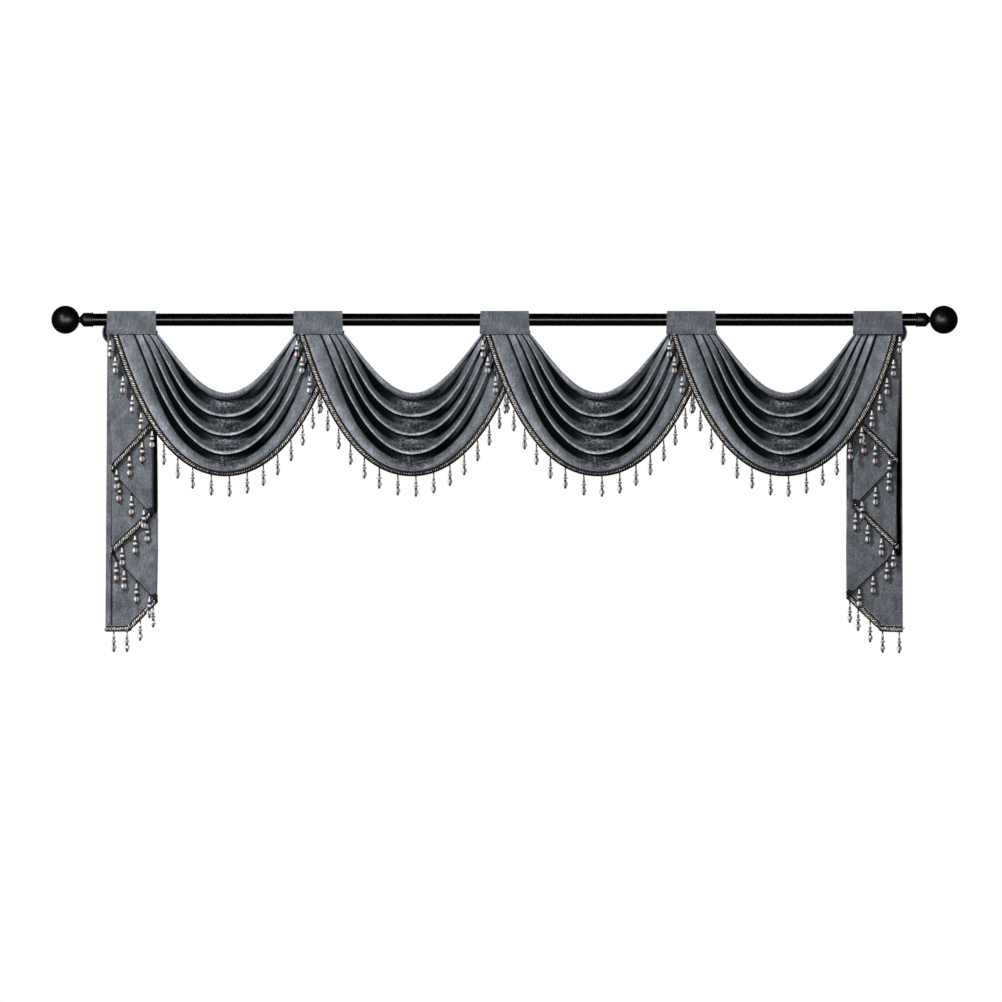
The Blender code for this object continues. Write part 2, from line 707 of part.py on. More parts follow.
def arm_outline():
    """Side view of the bracket's arm and cup as (y, z) about the rod axis."""
    inner = (ROD_RADIUS + GAP) / math.cos(math.radians(10.0))
    outer = inner + CUP_WALL
    outline = []
    for degrees in range(190, 351, 20):
        angle = math.radians(degrees)
        outline.append((inner * math.cos(angle), inner * math.sin(angle)))
    for degrees in (350, 330, 310):
        angle = math.radians(degrees)
        outline.append((outer * math.cos(angle), outer * math.sin(angle)))
    arm_end = ROD_STANDOFF - PLATE_FACE - GAP
    outline += [
        (0.0170, -0.0225),
        (0.0230, PLATE_Z + ARM_HALF_HEIGHT),
        (arm_end, PLATE_Z + ARM_HALF_HEIGHT),
        (arm_end, PLATE_Z - ARM_HALF_HEIGHT),
        (0.0180, PLATE_Z - ARM_HALF_HEIGHT),
        (0.0110, -0.0310),
        (0.0070, -0.0250),
    ]
    for degrees in range(280, 189, -15):
        angle = math.radians(degrees)
        outline.append((outer * math.cos(angle), outer * math.sin(angle)))
    return outline


def build_arms():
    for side_name, side in (("left", -1.0), ("right", 1.0)):
        bm = bmesh.new()
        loop = []
        for y, z in arm_outline():
            loop.append(bm.verts.new((-ARM_WIDTH / 2.0, y - ROD_STANDOFF, z)))
        face = bm.faces.new(loop)
        swept = bmesh.ops.extrude_face_region(bm, geom=[face])
        moved = [item for item in swept["geom"] if isinstance(item, bmesh.types.BMVert)]
        bmesh.ops.translate(bm, verts=moved, vec=(ARM_WIDTH, 0.0, 0.0))
        mesh = mesh_from(f"bracket_arm_{side_name}", bm)
        add_object(f"bracket_arm_{side_name}", mesh, "black_metal", (side * PLATE_X, 0.0, 0.0))


# ---- whole part ----------------------------------------------------------------

def main():
    clear_scene()
    build_rod()
    build_finials()
    build_wall_plates()
    build_arms()
    build_headings()
    build_swags()
    build_tail("left", -1.0, TAIL_LEFT)
    build_tail("right", 1.0, TAIL_RIGHT)


main()
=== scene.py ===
"""Swag and tail drape on a curtain rod: the dressed model on its fixed frame.

Metres, +Z up. The wall is the plane Y = 0, the front faces -Y, and the origin is
on the wall, half way along the rod and level with its axis.
"""

import math
from collections import namedtuple

import bmesh
import bpy
import numpy as np
from bpy.props import FloatProperty, FloatVectorProperty, IntProperty, PointerProperty
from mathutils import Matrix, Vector, noise


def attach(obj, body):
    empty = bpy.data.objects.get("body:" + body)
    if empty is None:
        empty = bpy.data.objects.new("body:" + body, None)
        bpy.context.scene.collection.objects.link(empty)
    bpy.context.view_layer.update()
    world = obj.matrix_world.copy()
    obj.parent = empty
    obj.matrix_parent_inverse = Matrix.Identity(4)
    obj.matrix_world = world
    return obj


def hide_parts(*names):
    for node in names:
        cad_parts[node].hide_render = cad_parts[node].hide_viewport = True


bl_info = {
    "name": "Swag and tail drape",
    "version": (1, 0, 0),
    "blender": (4, 5, 0),
    "location": "3D View > Sidebar > Drape",
    "description": "Builds a beaded swag and tail drape on its curtain rod",
    "category": "Object",
}

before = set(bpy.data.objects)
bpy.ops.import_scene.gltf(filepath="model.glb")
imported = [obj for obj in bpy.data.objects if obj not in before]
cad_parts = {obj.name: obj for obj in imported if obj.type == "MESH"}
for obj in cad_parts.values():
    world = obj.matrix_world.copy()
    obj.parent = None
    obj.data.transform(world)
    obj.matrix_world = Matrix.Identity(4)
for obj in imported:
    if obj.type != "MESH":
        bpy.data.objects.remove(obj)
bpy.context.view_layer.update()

BODY = "root"

# ---- sizes the cloth is hung by, in metres -------------------------------------

ROD_RADIUS = 0.0156
ROD_STANDOFF = 0.075
ROD_HALF_LENGTH = 1.0460

HEADING_COUNT = 5
HEADING_PITCH = 0.4665
HEADING_TOP = 0.0218
HEADING_SEAM = -0.0352
HEADING_HALF_TOP = 0.0605
HEADING_HALF_SEAM = 0.0625
HEADING_FRONT = 0.0273
HEADING_THICK = 0.0018
HEADING_WAVE = 0.0006           # height of the unevenness of a front panel
HEADING_RIPPLE = 0.0003
HEADING_COLUMNS = 61
HEADING_RISE_STEPS = 22         # rows up the front panel, round the rod and down behind
LOOP_STEPS = 24
LEG_STEPS = 4
LOOP_PLAY = 0.0013              # between the rod and the middle of the cloth over it
HEADING_FRONT_ROWS = 30         # rows of a heading's path that make its front panel
# The heading's front at its seam: height, and how far the cloth stands out there.
HEADING_STITCHES = (
    (-0.0352, -0.0006), (-0.0347, 0.0004), (-0.0340, 0.0009), (-0.0332, 0.0008),
    (-0.0326, 0.0002), (-0.0320, -0.0003), (-0.0312, 0.0002), (-0.0300, 0.0003),
)
LOOP_HALF_WIDTH = 0.0340
LOOP_BACK_PLAIN = -0.0125
LOOP_BACK_TAIL = 0.0046

CLOTH_THICK = 0.0016            # of the swags and tails
TUCK = 0.0080                   # how much of them goes up behind a heading
SWAG_FRONT_LAYER = -0.0245
SWAG_BACK_LAYER = -0.0155
SWAG_BELLY = 0.0330
SWAG_EARLY = 0.9
SWAG_LATE = 1.9
SWAG_SKEW = 0.0034
SWAG_FULL = 0.04275
PLEAT_ENDS = (0.45, 0.70)       # how far the pleats reach from the left and right ends
PLEAT_FORWARD = 0.0012
END_LOWERED = 0.0016            # how much lower the braid hangs at its very ends
SWAG_MIDDLES = (-0.6978, -0.2313, 0.2338, 0.7003)

TAIL_TOP_PITCH = 0.0026
TAIL_HEM_PITCH = 0.0080
TAIL_FRONT = -0.0085
TAIL_WAVE = 0.0012
TURN_STEPS = 8                  # columns round a fold of a tail
TAIL_TOP_OUTER = 0.0600
TAIL_TOP_INNER = 0.0560
TAIL_TOP_WIDEST = 0.0605
BRAID_ON_SLOPE = 0.0225
BRAID_AT_CORNER = 0.0185
BRAID_BEHIND = 0.0034
BRAID_LEVEL = 0.0160
BEHIND_SHIFT = 0.0022           # how far back the braid lies where it is behind the cloth
TAIL_SWING = 2.5                # how much sooner the inner folds swing out to their place
TUCK_WIDTH = 0.4                # of a fold's turn, as a share of the pitch
WAVE_PHASES = (2.1, 70.0)       # of a tail's waves, to a layer and to a metre inwards

# ---- the rod's ends and brackets -----------------------------------------------

ROD_BEVEL = 0.0006
ROD_PLAY = 0.0003               # between the rod and what it lies in
ROD_SIDES = 64
FITTING_SIDES = 56
BALL_RADIUS = 0.0353
BALL_CENTRE = 1.0979
BALL_STEPS = 32
NECK_RADIUS = 0.0073
FINIAL_NECK = (                 # place along the rod, and radius
    (1.0635, NECK_RADIUS), (1.0620, NECK_RADIUS + 0.0002),
    (1.0530, 0.0170), (1.0522, 0.0174),
    (1.0338, 0.0174), (1.0328, 0.0168), (1.0324, 0.0168),
    (1.0318, 0.0180), (1.0314, 0.0183), (1.0289, 0.0183), (1.0285, 0.0179),
    (1.0285, ROD_RADIUS + ROD_PLAY), (1.0468, ROD_RADIUS + ROD_PLAY), (1.0468, 0.0),
)
BRACKET_X = 0.976
ARM_WIDTH = 0.010
ARM_CORNERS = (                 # as (y, z) about the rod's axis
    (0.0170, -0.0225), (0.0230, -0.0280), (0.0702, -0.0280), (0.0702, -0.0360),
    (0.0180, -0.0360), (0.0110, -0.0310), (0.0070, -0.0250),
)
CUP_THICK = 0.0030
PLATE_HEIGHT = -0.032
PLATE_PROFILE = (               # depth from the wall, and radius
    (0.0, 0.0), (0.0, 0.0298), (-0.0006, 0.0303), (-0.0050, 0.0303),
    (-0.0058, 0.0299), (-0.0060, 0.0291), (-0.0060, 0.0269),
    (-0.0057, 0.0261), (-0.0047, 0.0253), (-0.0045, 0.0243), (-0.0045, 0.0),
)

# Edges sharper than these angles, in degrees, are drawn sharp.
SHEET_SHARP = 60.0
SWEPT_SHARP = 50.0
TURNED_SHARP = 35.0
ARM_SHARP = 30.0

# ---- the swag's lines, the braid and the bead drops -----------------------------

# A line of the swag, from its end at the heading to the middle of the swag.
# relief is its depth in the folds at the middle, and pleat the same at the heading.
# flank, arc and middle are its painted light and shade at the swag's side, on the way
# down and at the middle, 0 dark deep in a fold and 1 bright on a lip.
Line = namedtuple(
    "Line", "name half_width drop angle start_pull mid_pull relief pleat flank arc middle")

SWAG_LINES = (
    Line("top_edge", 0.1720, 0.1480, 48.5, 0.41, 0.39, -0.001, -0.0010, 0.82, 0.90, 0.90),
    Line("roll_front", 0.1732, 0.1545, 49.5, 0.43, 0.39, 0.007, 0.0002, 0.84, 0.90, 0.68),
    Line("roll_lip", 0.1745, 0.1640, 52.0, 0.50, 0.40, 0.006, 0.0008, 0.86, 0.72, 0.42),
    Line("roll_under", 0.1755, 0.1610, 52.2, 0.49, 0.42, -0.010, -0.0018, 0.00, 0.00, 0.34),
    Line("fold_c_top", 0.1790, 0.1750, 52.6, 0.48, 0.46, -0.015, -0.0026, 0.34, 0.00, 0.74),
    Line("fold_c_face", 0.1860, 0.1960, 53.0, 0.47, 0.53, 0.001, -0.0006, 0.86, 0.60, 0.44),
    Line("fold_c_lip", 0.1900, 0.2065, 53.2, 0.46, 0.56, 0.009, 0.0008, 0.80, 0.94, 1.00),
    Line("fold_c_under", 0.1910, 0.2030, 53.8, 0.46, 0.56, -0.009, -0.0018, 0.00, 0.00, 0.26),
    Line("fold_b_top", 0.1945, 0.2200, 56.0, 0.45, 0.56, -0.015, -0.0026, 0.34, 0.00, 0.60),
    Line("fold_b_face", 0.2010, 0.2420, 58.5, 0.45, 0.55, 0.002, -0.0006, 0.86, 0.62, 0.44),
    Line("fold_b_lip", 0.2050, 0.2535, 60.0, 0.45, 0.55, 0.011, 0.0008, 0.80, 0.93, 0.98),
    Line("fold_b_under", 0.2060, 0.2500, 60.5, 0.45, 0.55, -0.008, -0.0018, 0.00, 0.00, 0.20),
    Line("fold_a_top", 0.2105, 0.2670, 62.5, 0.45, 0.54, -0.015, -0.0026, 0.34, 0.00, 0.74),
    Line("fold_a_face", 0.2200, 0.2890, 64.8, 0.45, 0.53, 0.002, -0.0006, 0.86, 0.64, 0.48),
    Line("fold_a_lip", 0.2250, 0.3000, 66.0, 0.45, 0.53, 0.011, 0.0008, 0.80, 0.94, 0.98),
    Line("fold_a_under", 0.2262, 0.2965, 66.2, 0.45, 0.53, -0.008, -0.0018, 0.00, 0.00, 0.10),
    Line("band_top", 0.2320, 0.3110, 67.4, 0.47, 0.53, -0.013, -0.0026, 0.34, 0.00, 0.44),
    Line("band_upper", 0.2440, 0.3260, 69.4, 0.51, 0.53, -0.002, -0.0010, 0.74, 0.68, 0.47),
    Line("band_belly", 0.2570, 0.3370, 71.2, 0.54, 0.53, 0.004, 0.0003, 0.74, 0.80, 0.68),
    Line("band_edge", 0.2673, 0.3430, 72.2, 0.56, 0.53, 0.001, 0.0000, 0.84, 0.86, 0.76),
)
TRIM_LINE = Line("trim_edge", 0.2850, 0.3565, 73.2, 0.575, 0.536, -0.001, 0.0000, 1.00, 1.00, 1.00)

SWAG_DROPS = (
    -0.2850, -0.2730, -0.2535, -0.2310, -0.2090, -0.1820, -0.1530,
    -0.1185, -0.0800, -0.0370, 0.0088, 0.0540, 0.0935, 0.1285,
    0.1610, 0.1905, 0.2150, 0.2350, 0.2530, 0.2690, 0.2850,
)
DROP_LENGTH = 0.0515
OVER_SWAG = -0.2400             # left of this place a drop hangs over the next swag
OVER_TAIL = 0.8750              # and beyond this, from the rod's middle, over a tail
DROP_SLACKS = {-0.2850: 0.0100, -0.2730: 0.0130, -0.2535: 0.0090}
DROP_LEAN = 0.0035
DROP_STEP = 0.0030

TAPE_THICK = 0.0022             # the black tape that the braid is wound on
SWAG_TAPE_EDGES = 0.0081        # how much wider than the stitches it is
TAIL_TAPE_EDGES = 0.0060
STITCH_PITCH = 0.0062
STITCH_HALF_WIDTH = 0.0042
STITCH_LEAN = 0.0030            # how far a stitch runs along the braid from its middle
STITCH_RISE = 0.0018
STITCH_THICK = 0.0021           # half the thickness of the wound thread
STITCH_RINGS = 7
STITCH_SIDES = 5
STITCH_SIZES = (0.2, 1.6)       # the least and most that a stitch's size changes
TAPE_CROWN = 0.0016             # height of the tape's half-round front
TAPE_CROWN_HALF = 0.36          # and its half width, as a share of the tape's width
TAPE_EDGE = 0.2                 # height of the tape's edges, as a share of its thickness
LEAST_UPRIGHT = 0.35            # least share of its width that a slanting braid keeps
SWAG_SEED = 40
TAIL_SEED = 60

# Finishes of a drop's parts.
THREAD, BEAD, CRYSTAL = range(3)

# A bead of a drop: where its middle hangs as a share of the drop, its half width at
# its top, middle and foot, its half height, the height where its painted light is
# brightest (-1 to 1), and its finish.
Bead = namedtuple("Bead", "name hang top middle foot half_height bright finish")

BEADS = (
    Bead("seed", 0.015, 0.0008, 0.0016, 0.0010, 0.0012, 0.0, THREAD),
    Bead("cone", 0.185, 0.0008, 0.0024, 0.0043, 0.0080, -0.35, BEAD),
    # The rings are dark beads in the thread's finish, set between the beads to stand for the shade
    # between them.
    Bead("upper_ring", 0.362, 0.0020, 0.0038, 0.0020, 0.0010, 0.0, THREAD),
    Bead("pearl", 0.474, 0.0034, 0.0060, 0.0034, 0.0040, 0.1, BEAD),
    Bead("lower_ring", 0.598, 0.0022, 0.0034, 0.0026, 0.0026, 0.0, THREAD),
    Bead("crystal", 0.768, 0.0034, 0.0066, 0.0032, 0.0078, 0.0, CRYSTAL),
    Bead("end", 0.942, 0.0028, 0.0032, 0.0014, 0.0030, 0.2, THREAD),
)
THREAD_RADIUS = 0.0018
BEAD_SIDES = 8
BEAD_TURNS = (-0.05, 0.47)      # the least and most a drop is turned, in radians
NARROW_FACET = 0.45             # how much of its width a narrow facet gives to a wide one
# Painted shade on a crystal's narrow facets, beside the painted highlights of its wide ones.
PAINTED_DARK_FACET = 0.12
BEAD_FALL = 0.8                 # how much painted shade darkens a bead towards its ends
CRYSTAL_FALL = 1.2

# ---- painted light and shade of the pile, 0 deep in a fold and 1 on a lip -------

FLAT_LIGHT = 0.68               # the painted light of plain flat cloth
FLAT_CRUSH = 0.10               # and how crushed its pile is
TAIL_CRUSH = 0.16
LIGHT_POWER = 3.0               # how steeply the painted shade darkens the pile with less light
SPECK_STRENGTH = 1.7            # how far the painted specks of crushed pile depart from the painted light around them
HEADING_TOP_PAINTED_SHADE = 0.30        # painted shade where the heading's cloth turns away over the rod,
HEADING_TOP_TURN = 0.0196       # which is above this height
# Heights at the heading's seam, and the painted light there: a painted shadow along the seam and a
# painted highlight just above it.
HEADING_SEAM_PAINTED_LIGHT = ((-0.0350, -0.0342, -0.0328, -0.0312), (0.25, 0.85, 0.60, FLAT_LIGHT))

# Shares of the way from a swag's side to its middle: where its lines change from their
# flank value to their arc value, and where the places of SHADE_STEP do.
FLANK_TO_ARC = (0.15, 0.50)
STEP_FLANK_TO_ARC = (0.21, 0.56)
# Where between a line and the next the painted light changes, at the swag's side, on the way
# down and at its middle, and over how much of the way, by a line or the part of a fold.
SHADE_STEP = {
    "top": (0.08, 0.74, 0.30, 0.26), "face": (0.50, 0.40, 0.46, 0.40),
    "under": (0.50, 0.50, 0.70, 0.60), "front": (0.50, 0.50, 0.30, 0.60),
    "band_top": (0.06, 0.80, 0.55, 0.26),
}
EVEN_STEP = (0.50, 0.50, 0.50, 1.00)
# On a swag's right side: how much painted light each part gains, the least painted light
# below the lips, between which shares of the way, and how fast that fades downwards.
RIGHT_GAIN = {"lip": -0.07, "face": -0.12, "front": -0.08, "edge": -0.10}
RIGHT_OPEN = 0.72
RIGHT_OPENS = (0.10, 0.36)
RIGHT_CLOSES = (0.80, 0.60)
FADE_REACH = 0.50
END_PAINTED_SHADE = 0.55                # painted shade beside the heading, where the pleats go behind it
END_REACH = 0.012
# How crushed the pile is at each part of a fold, at the swag's middle, which sets the height of
# its crumples and the strength of its painted specks.
CRUSH = {"top": 0.9, "face": 0.9, "lip": 0.12, "under": 0.4, "front": 0.5, "upper": 0.9,
         "belly": 0.55, "edge": 0.3}

# Where the folds are crushed together at the middle of a swag, and how far on each
# side the painted shade there and the crushed ridge inside each fold reach.
MIDDLE_X = 0.004
SHADE_REACH = 0.056
MIDDLE_REACH = 0.045
SWAG_RIDGE = 0.0110             # height of the small ridge there inside each fold

# Creases of a swag: waves across and down, and the plane of the noise they come from.
SWAG_WRINKLES = (7.0, 34.0, 3.7)
BROAD_CREASES = (26.0, 150.0, 5.1)
FINE_CREASES = (150.0, 300.0, 9.1)
WRINKLE_HEIGHT = 0.0010
CREASE_HEIGHT = 0.0003
CRUSHED_HEIGHT = 0.0037
# Painted light and shade that follow the crumples, where the pile is plain and where it is
# crushed.
CREASE_PAINTED_LIGHT = 0.07
CRUSHED_PAINTED_LIGHT = 0.47
# Ripples of a tail: waves in each axis.
LONG_RIPPLES = (60.0, 60.0, 7.0)
LONG_RIPPLE_HEIGHT = 0.0015
SMALL_RIPPLES = (120.0, 60.0, 70.0)
SMALL_RIPPLE_HEIGHT = 0.0003
RIPPLE_FADE = 0.12              # below the seam, where they reach their full height

# A painted shadow on a tail, where a layer dips behind the one before it: its place
# inwards and how far it reaches on each side, the layer that it starts behind, its lowest
# height, how dark it is, and whether it fades towards its sides. The key is the tail's side, -1
# for the left one.
Dip = namedtuple("Dip", "inward reach layer lowest shade soft")

TAIL_PAINTED_SHADOWS = {
    -1.0: (Dip(-0.0500, 0.0035, 3.5, -1.0, 0.60, True),
           Dip(0.0600, 0.0055, 2.5, -0.486, 0.80, False)),
    1.0: (Dip(-0.05285, 0.00635, 3.5, -0.588, 0.85, False),
          Dip(0.0630, 0.0040, 2.5, -0.466, 0.60, True)),
}

# ---- the hems of the tails -----------------------------------------------------

# Hem of a tail, from its short inner edge to its long outer edge.
Hem = namedtuple("Hem", "name inward height layer drop_length drops")

TAIL_LEFT = (
    Hem("inner_end", 0.0480, -0.2757, 0, 0.0, ()),
    Hem("fold_1", -0.0485, -0.3807, 0, 0.063, (0.0263, -0.0050, -0.0370)),
    Hem("fold_2", 0.0525, -0.4920, 1, 0.060, (-0.0310, 0.0000, 0.0310)),
    Hem("fold_3", -0.0485, -0.5880, 2, 0.056, (0.0398, 0.0090, -0.0233)),
    Hem("fold_4", 0.0648, -0.7080, 3, 0.060, (-0.0380, -0.0185, 0.0125, 0.0450)),
    Hem("corner", -0.0050, -0.7800, 4, 0.051, (0.0545, 0.0220)),
    Hem("outer_end", -0.0650, -0.7800, 4, 0.051, (-0.0110, -0.0440)),
)
TAIL_RIGHT = (
    Hem("inner_end", 0.0395, -0.2730, 0, 0.0, ()),
    Hem("fold_1", -0.0455, -0.3595, 0, 0.060, (0.0320, 0.0061, -0.0289)),
    Hem("fold_2", 0.0620, -0.4710, 1, 0.056, (-0.0274, 0.0056, 0.0396)),
    Hem("fold_3", -0.0470, -0.5780, 2, 0.054, (0.0555, 0.0254, -0.0089, -0.0390)),
    Hem("fold_4", 0.0775, -0.6980, 3, 0.054, (-0.0231, 0.0119, 0.0464)),
    Hem("corner", -0.0080, -0.7800, 4, 0.053, (0.0700, 0.0491, 0.0191)),
    Hem("outer_end", -0.0628, -0.7815, 4, 0.053, (-0.0120, -0.0536)),
)


# ---- arithmetic ----------------------------------------------------------------

def mix(first, second, share):
    return first + (second - first) * share


def smooth_step(low, high, value):
    share = np.clip((value - low) / (high - low), 0.0, 1.0)
    return share * share * (3.0 - 2.0 * share)


def linear(hex_colour):
    """An sRGB hex colour as a linear RGBA tuple."""
    channels = []
    for start in (0, 2, 4):
        value = int(hex_colour[start:start + 2], 16) / 255.0
        if value <= 0.04045:
            channels.append(value / 12.92)
        else:
            channels.append(((value + 0.055) / 1.055) ** 2.4)
    return (*channels, 1.0)


def unit(vectors):
    lengths = np.linalg.norm(vectors, axis=-1, keepdims=True)
    return vectors / np.maximum(lengths, 1e-12)


def spline_rows(rows, steps):
    """Smooth rows through the given ones, with steps between each pair."""
    padded = np.concatenate([2 * rows[:1] - rows[1:2], rows, 2 * rows[-1:] - rows[-2:-1]])
    result = []
    for k in range(1, len(padded) - 2):
        before, start, end, after = padded[k - 1:k + 3]
        leave = (end - before) / 2.0
        arrive = (after - start) / 2.0
        for step in range(steps):
            t = step / steps
            result.append(
                start * (2 * t ** 3 - 3 * t ** 2 + 1)
                + leave * (t ** 3 - 2 * t ** 2 + t)
                + end * (3 * t ** 2 - 2 * t ** 3)
                + arrive * (t ** 3 - t ** 2)
            )
    result.append(rows[-1])
    return np.array(result)


def stepped_rows(rows, places, spans, fades, steps):
    """Rows mixed between the given ones, changing at a place between each two. Before
    that place a row with a fade loses it, as a share of its value."""
    result = []
    for k in range(len(rows) - 1):
        low = places[k] - 0.5 * spans[k]
        for step in range(steps):
            share = smooth_step(low, low + spans[k], step / steps)
            start = rows[k] * (1.0 - fades[k] * smooth_step(0.0, FADE_REACH, step / steps))
            result.append(mix(start, rows[k + 1], share))
    result.append(rows[-1])
    return np.array(result)


def grid_normals(grid):
    down = np.gradient(grid, axis=0)
    across = np.gradient(grid, axis=1)
    return unit(np.cross(down, across))


# ---- meshes --------------------------------------------------------------------

def new_mesh(name, vertices, faces=(), edges=()):
    mesh = bpy.data.meshes.new(name)
    mesh.from_pydata(vertices, edges, faces)
    return mesh


def store(mesh, label, values, domain="POINT"):
    """Keep a number or a vector for each point or face of a mesh, under a name."""
    values = np.asarray(values, dtype=np.float32)
    kind, field = ("FLOAT", "value") if values.ndim == 1 else ("FLOAT_VECTOR", "vector")
    mesh.attributes.new(label, kind, domain).data.foreach_set(field, values.ravel())


def shade(mesh, degrees):
    """Smooth shading, except across edges sharper than an angle."""
    mesh.shade_smooth()
    mesh.set_sharp_from_angle(angle=math.radians(degrees))
    return mesh


def closed_mesh(mesh, bm, degrees):
    """Give a mesh a closed form, with its faces turned outwards, and shade it."""
    bmesh.ops.recalc_face_normals(bm, faces=bm.faces)
    bm.to_mesh(mesh)
    bm.free()
    return shade(mesh, degrees)


def link(mesh, *finishes):
    """Put a mesh in the scene as a piece of its own name, with its finishes."""
    obj = bpy.data.objects.new(mesh.name, mesh)
    bpy.context.scene.collection.objects.link(obj)
    for finish in finishes:
        mesh.materials.append(finish_of(finish))
    return obj


def fit(obj, node=None):
    """Fix a piece to the body, and hide the solid of model.glb that it stands for."""
    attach(obj, BODY)
    if node:
        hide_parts(node)
    return obj


def tube_faces(rings, sides):
    """The two ends of a tube and the faces between its rings of points."""
    last = (rings - 1) * sides
    faces = [tuple(range(sides)), tuple(reversed(range(last, last + sides)))]
    for a in range(0, last, sides):
        b = a + sides
        for k in range(sides):
            following = (k + 1) % sides
            faces.append((a + k, b + k, b + following, a + following))
    return faces


def quads(first, second):
    """Faces between a row of points, or several, and the row that follows each."""
    corners = [first[..., :-1], second[..., :-1], second[..., 1:], first[..., 1:]]
    return np.stack(corners, -1).reshape(-1, 4)


def sheet_mesh(name, grid, thickness, light, crush, plain_back=False):
    """A closed sheet on a grid of points, with a UV map in metres of cloth.

    light is the painted light and shade at each point, and crush how crushed the
    pile is, both from 0 to 1. On a plain back the painted light is even all over.
    """
    rows, columns = grid.shape[:2]
    normals = grid_normals(grid) * (thickness / 2.0)
    vertices = np.concatenate([(grid + normals).reshape(-1, 3), (grid - normals).reshape(-1, 3)])
    index = np.arange(rows * columns).reshape(rows, columns)
    back = index + rows * columns
    faces = np.concatenate([
        quads(index[:-1], index[1:]), quads(back.T[:-1], back.T[1:]),
        quads(index[:, 0], back[:, 0]), quads(back[:, -1], index[:, -1]),
        quads(back[0], index[0]), quads(index[-1], back[-1])])

    down = np.linalg.norm(np.diff(grid, axis=0), axis=-1)
    across = np.linalg.norm(np.diff(grid, axis=1), axis=-1)
    v = np.concatenate([np.zeros((1, columns)), np.cumsum(down, axis=0)])
    u = np.concatenate([np.zeros((rows, 1)), np.cumsum(across, axis=1)], axis=1)
    u -= u.mean(axis=1, keepdims=True)
    uv = np.stack([u, -v], -1).reshape(-1, 2)
    uv = np.concatenate([uv, uv])

    mesh = new_mesh(name, vertices.tolist(), faces.tolist())
    layer = mesh.uv_layers.new(name="cloth")
    loops = np.empty(len(mesh.loops), dtype=np.int64)
    mesh.loops.foreach_get("vertex_index", loops)
    layer.data.foreach_set("uv", uv[loops].astype(np.float32).ravel())
    for label, values, flat in (("light", light, FLAT_LIGHT), ("crush", crush, FLAT_CRUSH)):
        behind = np.full_like(values, flat) if plain_back else values
        store(mesh, label, np.concatenate([values.reshape(-1), behind.reshape(-1)]))
    return shade(mesh, SHEET_SHARP)


def swept_mesh(name, centres, fronts, widths, profile):
    """A closed profile swept along a path; profile is (share of width, height)."""
    runs = unit(np.gradient(centres, axis=0))
    sides = unit(np.cross(runs, fronts))
    profile = np.array(profile)
    rings = (
        centres[:, None]
        + sides[:, None] * (profile[None, :, :1] * widths[:, None, None])
        + fronts[:, None] * profile[None, :, 1:]
    )
    mesh = new_mesh(name, rings.reshape(-1, 3).tolist(), tube_faces(len(rings), len(profile)))
    bm = bmesh.new()
    bm.from_mesh(mesh)
    return closed_mesh(mesh, bm, SWEPT_SHARP)


def turned_mesh(name, profile, sides, axis, place):
    """Spin a closed profile of (along, radius) about the X or the Y axis."""
    bm = bmesh.new()
    rings = []
    for along, radius in profile:
        ring = []
        for k in range(sides if radius > 1e-9 else 1):
            angle = 2.0 * math.pi * k / sides
            a, b = radius * math.cos(angle), radius * math.sin(angle)
            point = (along, a, b) if axis == "X" else (a, along, b)
            ring.append(bm.verts.new(Vector(point) + Vector(place)))
        rings.append(ring)
    for a, b in zip(rings, rings[1:]):
        for k in range(sides):
            following = (k + 1) % sides
            if len(a) == 1:
                bm.faces.new((a[0], b[k], b[following]))
            elif len(b) == 1:
                bm.faces.new((a[k], b[0], a[following]))
            else:
                bm.faces.new((a[k], b[k], b[following], a[following]))
    return closed_mesh(new_mesh(name, []), bm, TURNED_SHARP)


# ---- node trees ----------------------------------------------------------------

def add_node(tree, kind, inputs=None, **settings):
    """Add a node, set its properties, and fill its inputs with values or links."""
    node = tree.nodes.new(kind)
    for name, value in settings.items():
        setattr(node, name, value)
    for name, value in (inputs or {}).items():
        if isinstance(value, bpy.types.NodeSocket):
            tree.links.new(value, node.inputs[name])
        else:
            node.inputs[name].default_value = value
    return node


def add_math(tree, operation, *values, **settings):
    return add_node(tree, "ShaderNodeMath", dict(enumerate(values)),
                    operation=operation, **settings).outputs[0]


def add_noise(tree, place, scale, detail, roughness=0.5):
    return add_node(tree, "ShaderNodeTexNoise", {
        "Vector": place, "Scale": scale, "Detail": detail, "Roughness": roughness}).outputs[0]


def add_range(tree, value, low, high, start=0.0, end=1.0):
    """Bring a value from the range start to end into the range low to high."""
    return add_node(tree, "ShaderNodeMapRange", {
        "Value": value, "From Min": start, "From Max": end,
        "To Min": low, "To Max": high}).outputs[0]


def add_ramp(tree, value, stops):
    """A value's colour between stops of (position, hex colour)."""
    ramp = add_node(tree, "ShaderNodeValToRGB", {0: value})
    elements = ramp.color_ramp.elements
    while len(elements) < len(stops):
        elements.new(0.5)
    for element, (position, hex_colour) in zip(elements, stops):
        element.position = position
        element.color = linear(hex_colour)
    return ramp.outputs["Color"]


def add_bump(tree, height, strength, distance):
    return add_node(tree, "ShaderNodeBump", {
        "Height": height, "Strength": strength, "Distance": distance}).outputs[0]


def stretched(tree, place, *scale):
    return add_node(tree, "ShaderNodeMapping", {0: place, "Scale": scale}).outputs[0]


def dimmed(tree, colour, share):
    return add_node(tree, "ShaderNodeVectorMath", {0: colour, "Scale": share},
                    operation="SCALE").outputs[0]


def mesh_value(tree, label):
    """A number that the mesh carries under a name, as a material reads it."""
    return add_node(tree, "ShaderNodeAttribute", attribute_name=label).outputs["Fac"]


def own_space(tree):
    return add_node(tree, "ShaderNodeTexCoord").outputs["Object"]


def new_material(name, **shader_values):
    """A material with its Principled shader's own sockets set; returns its parts."""
    material = bpy.data.materials.new(name)
    material.use_nodes = True
    tree = material.node_tree
    shader = tree.nodes["Principled BSDF"]
    for socket, value in shader_values.items():
        shader.inputs[socket.replace("_", " ")].default_value = value
    return material, tree, shader


def feed(tree, shader, inputs):
    for name, output in inputs.items():
        tree.links.new(output, shader.inputs[name])


# ---- finishes ------------------------------------------------------------------

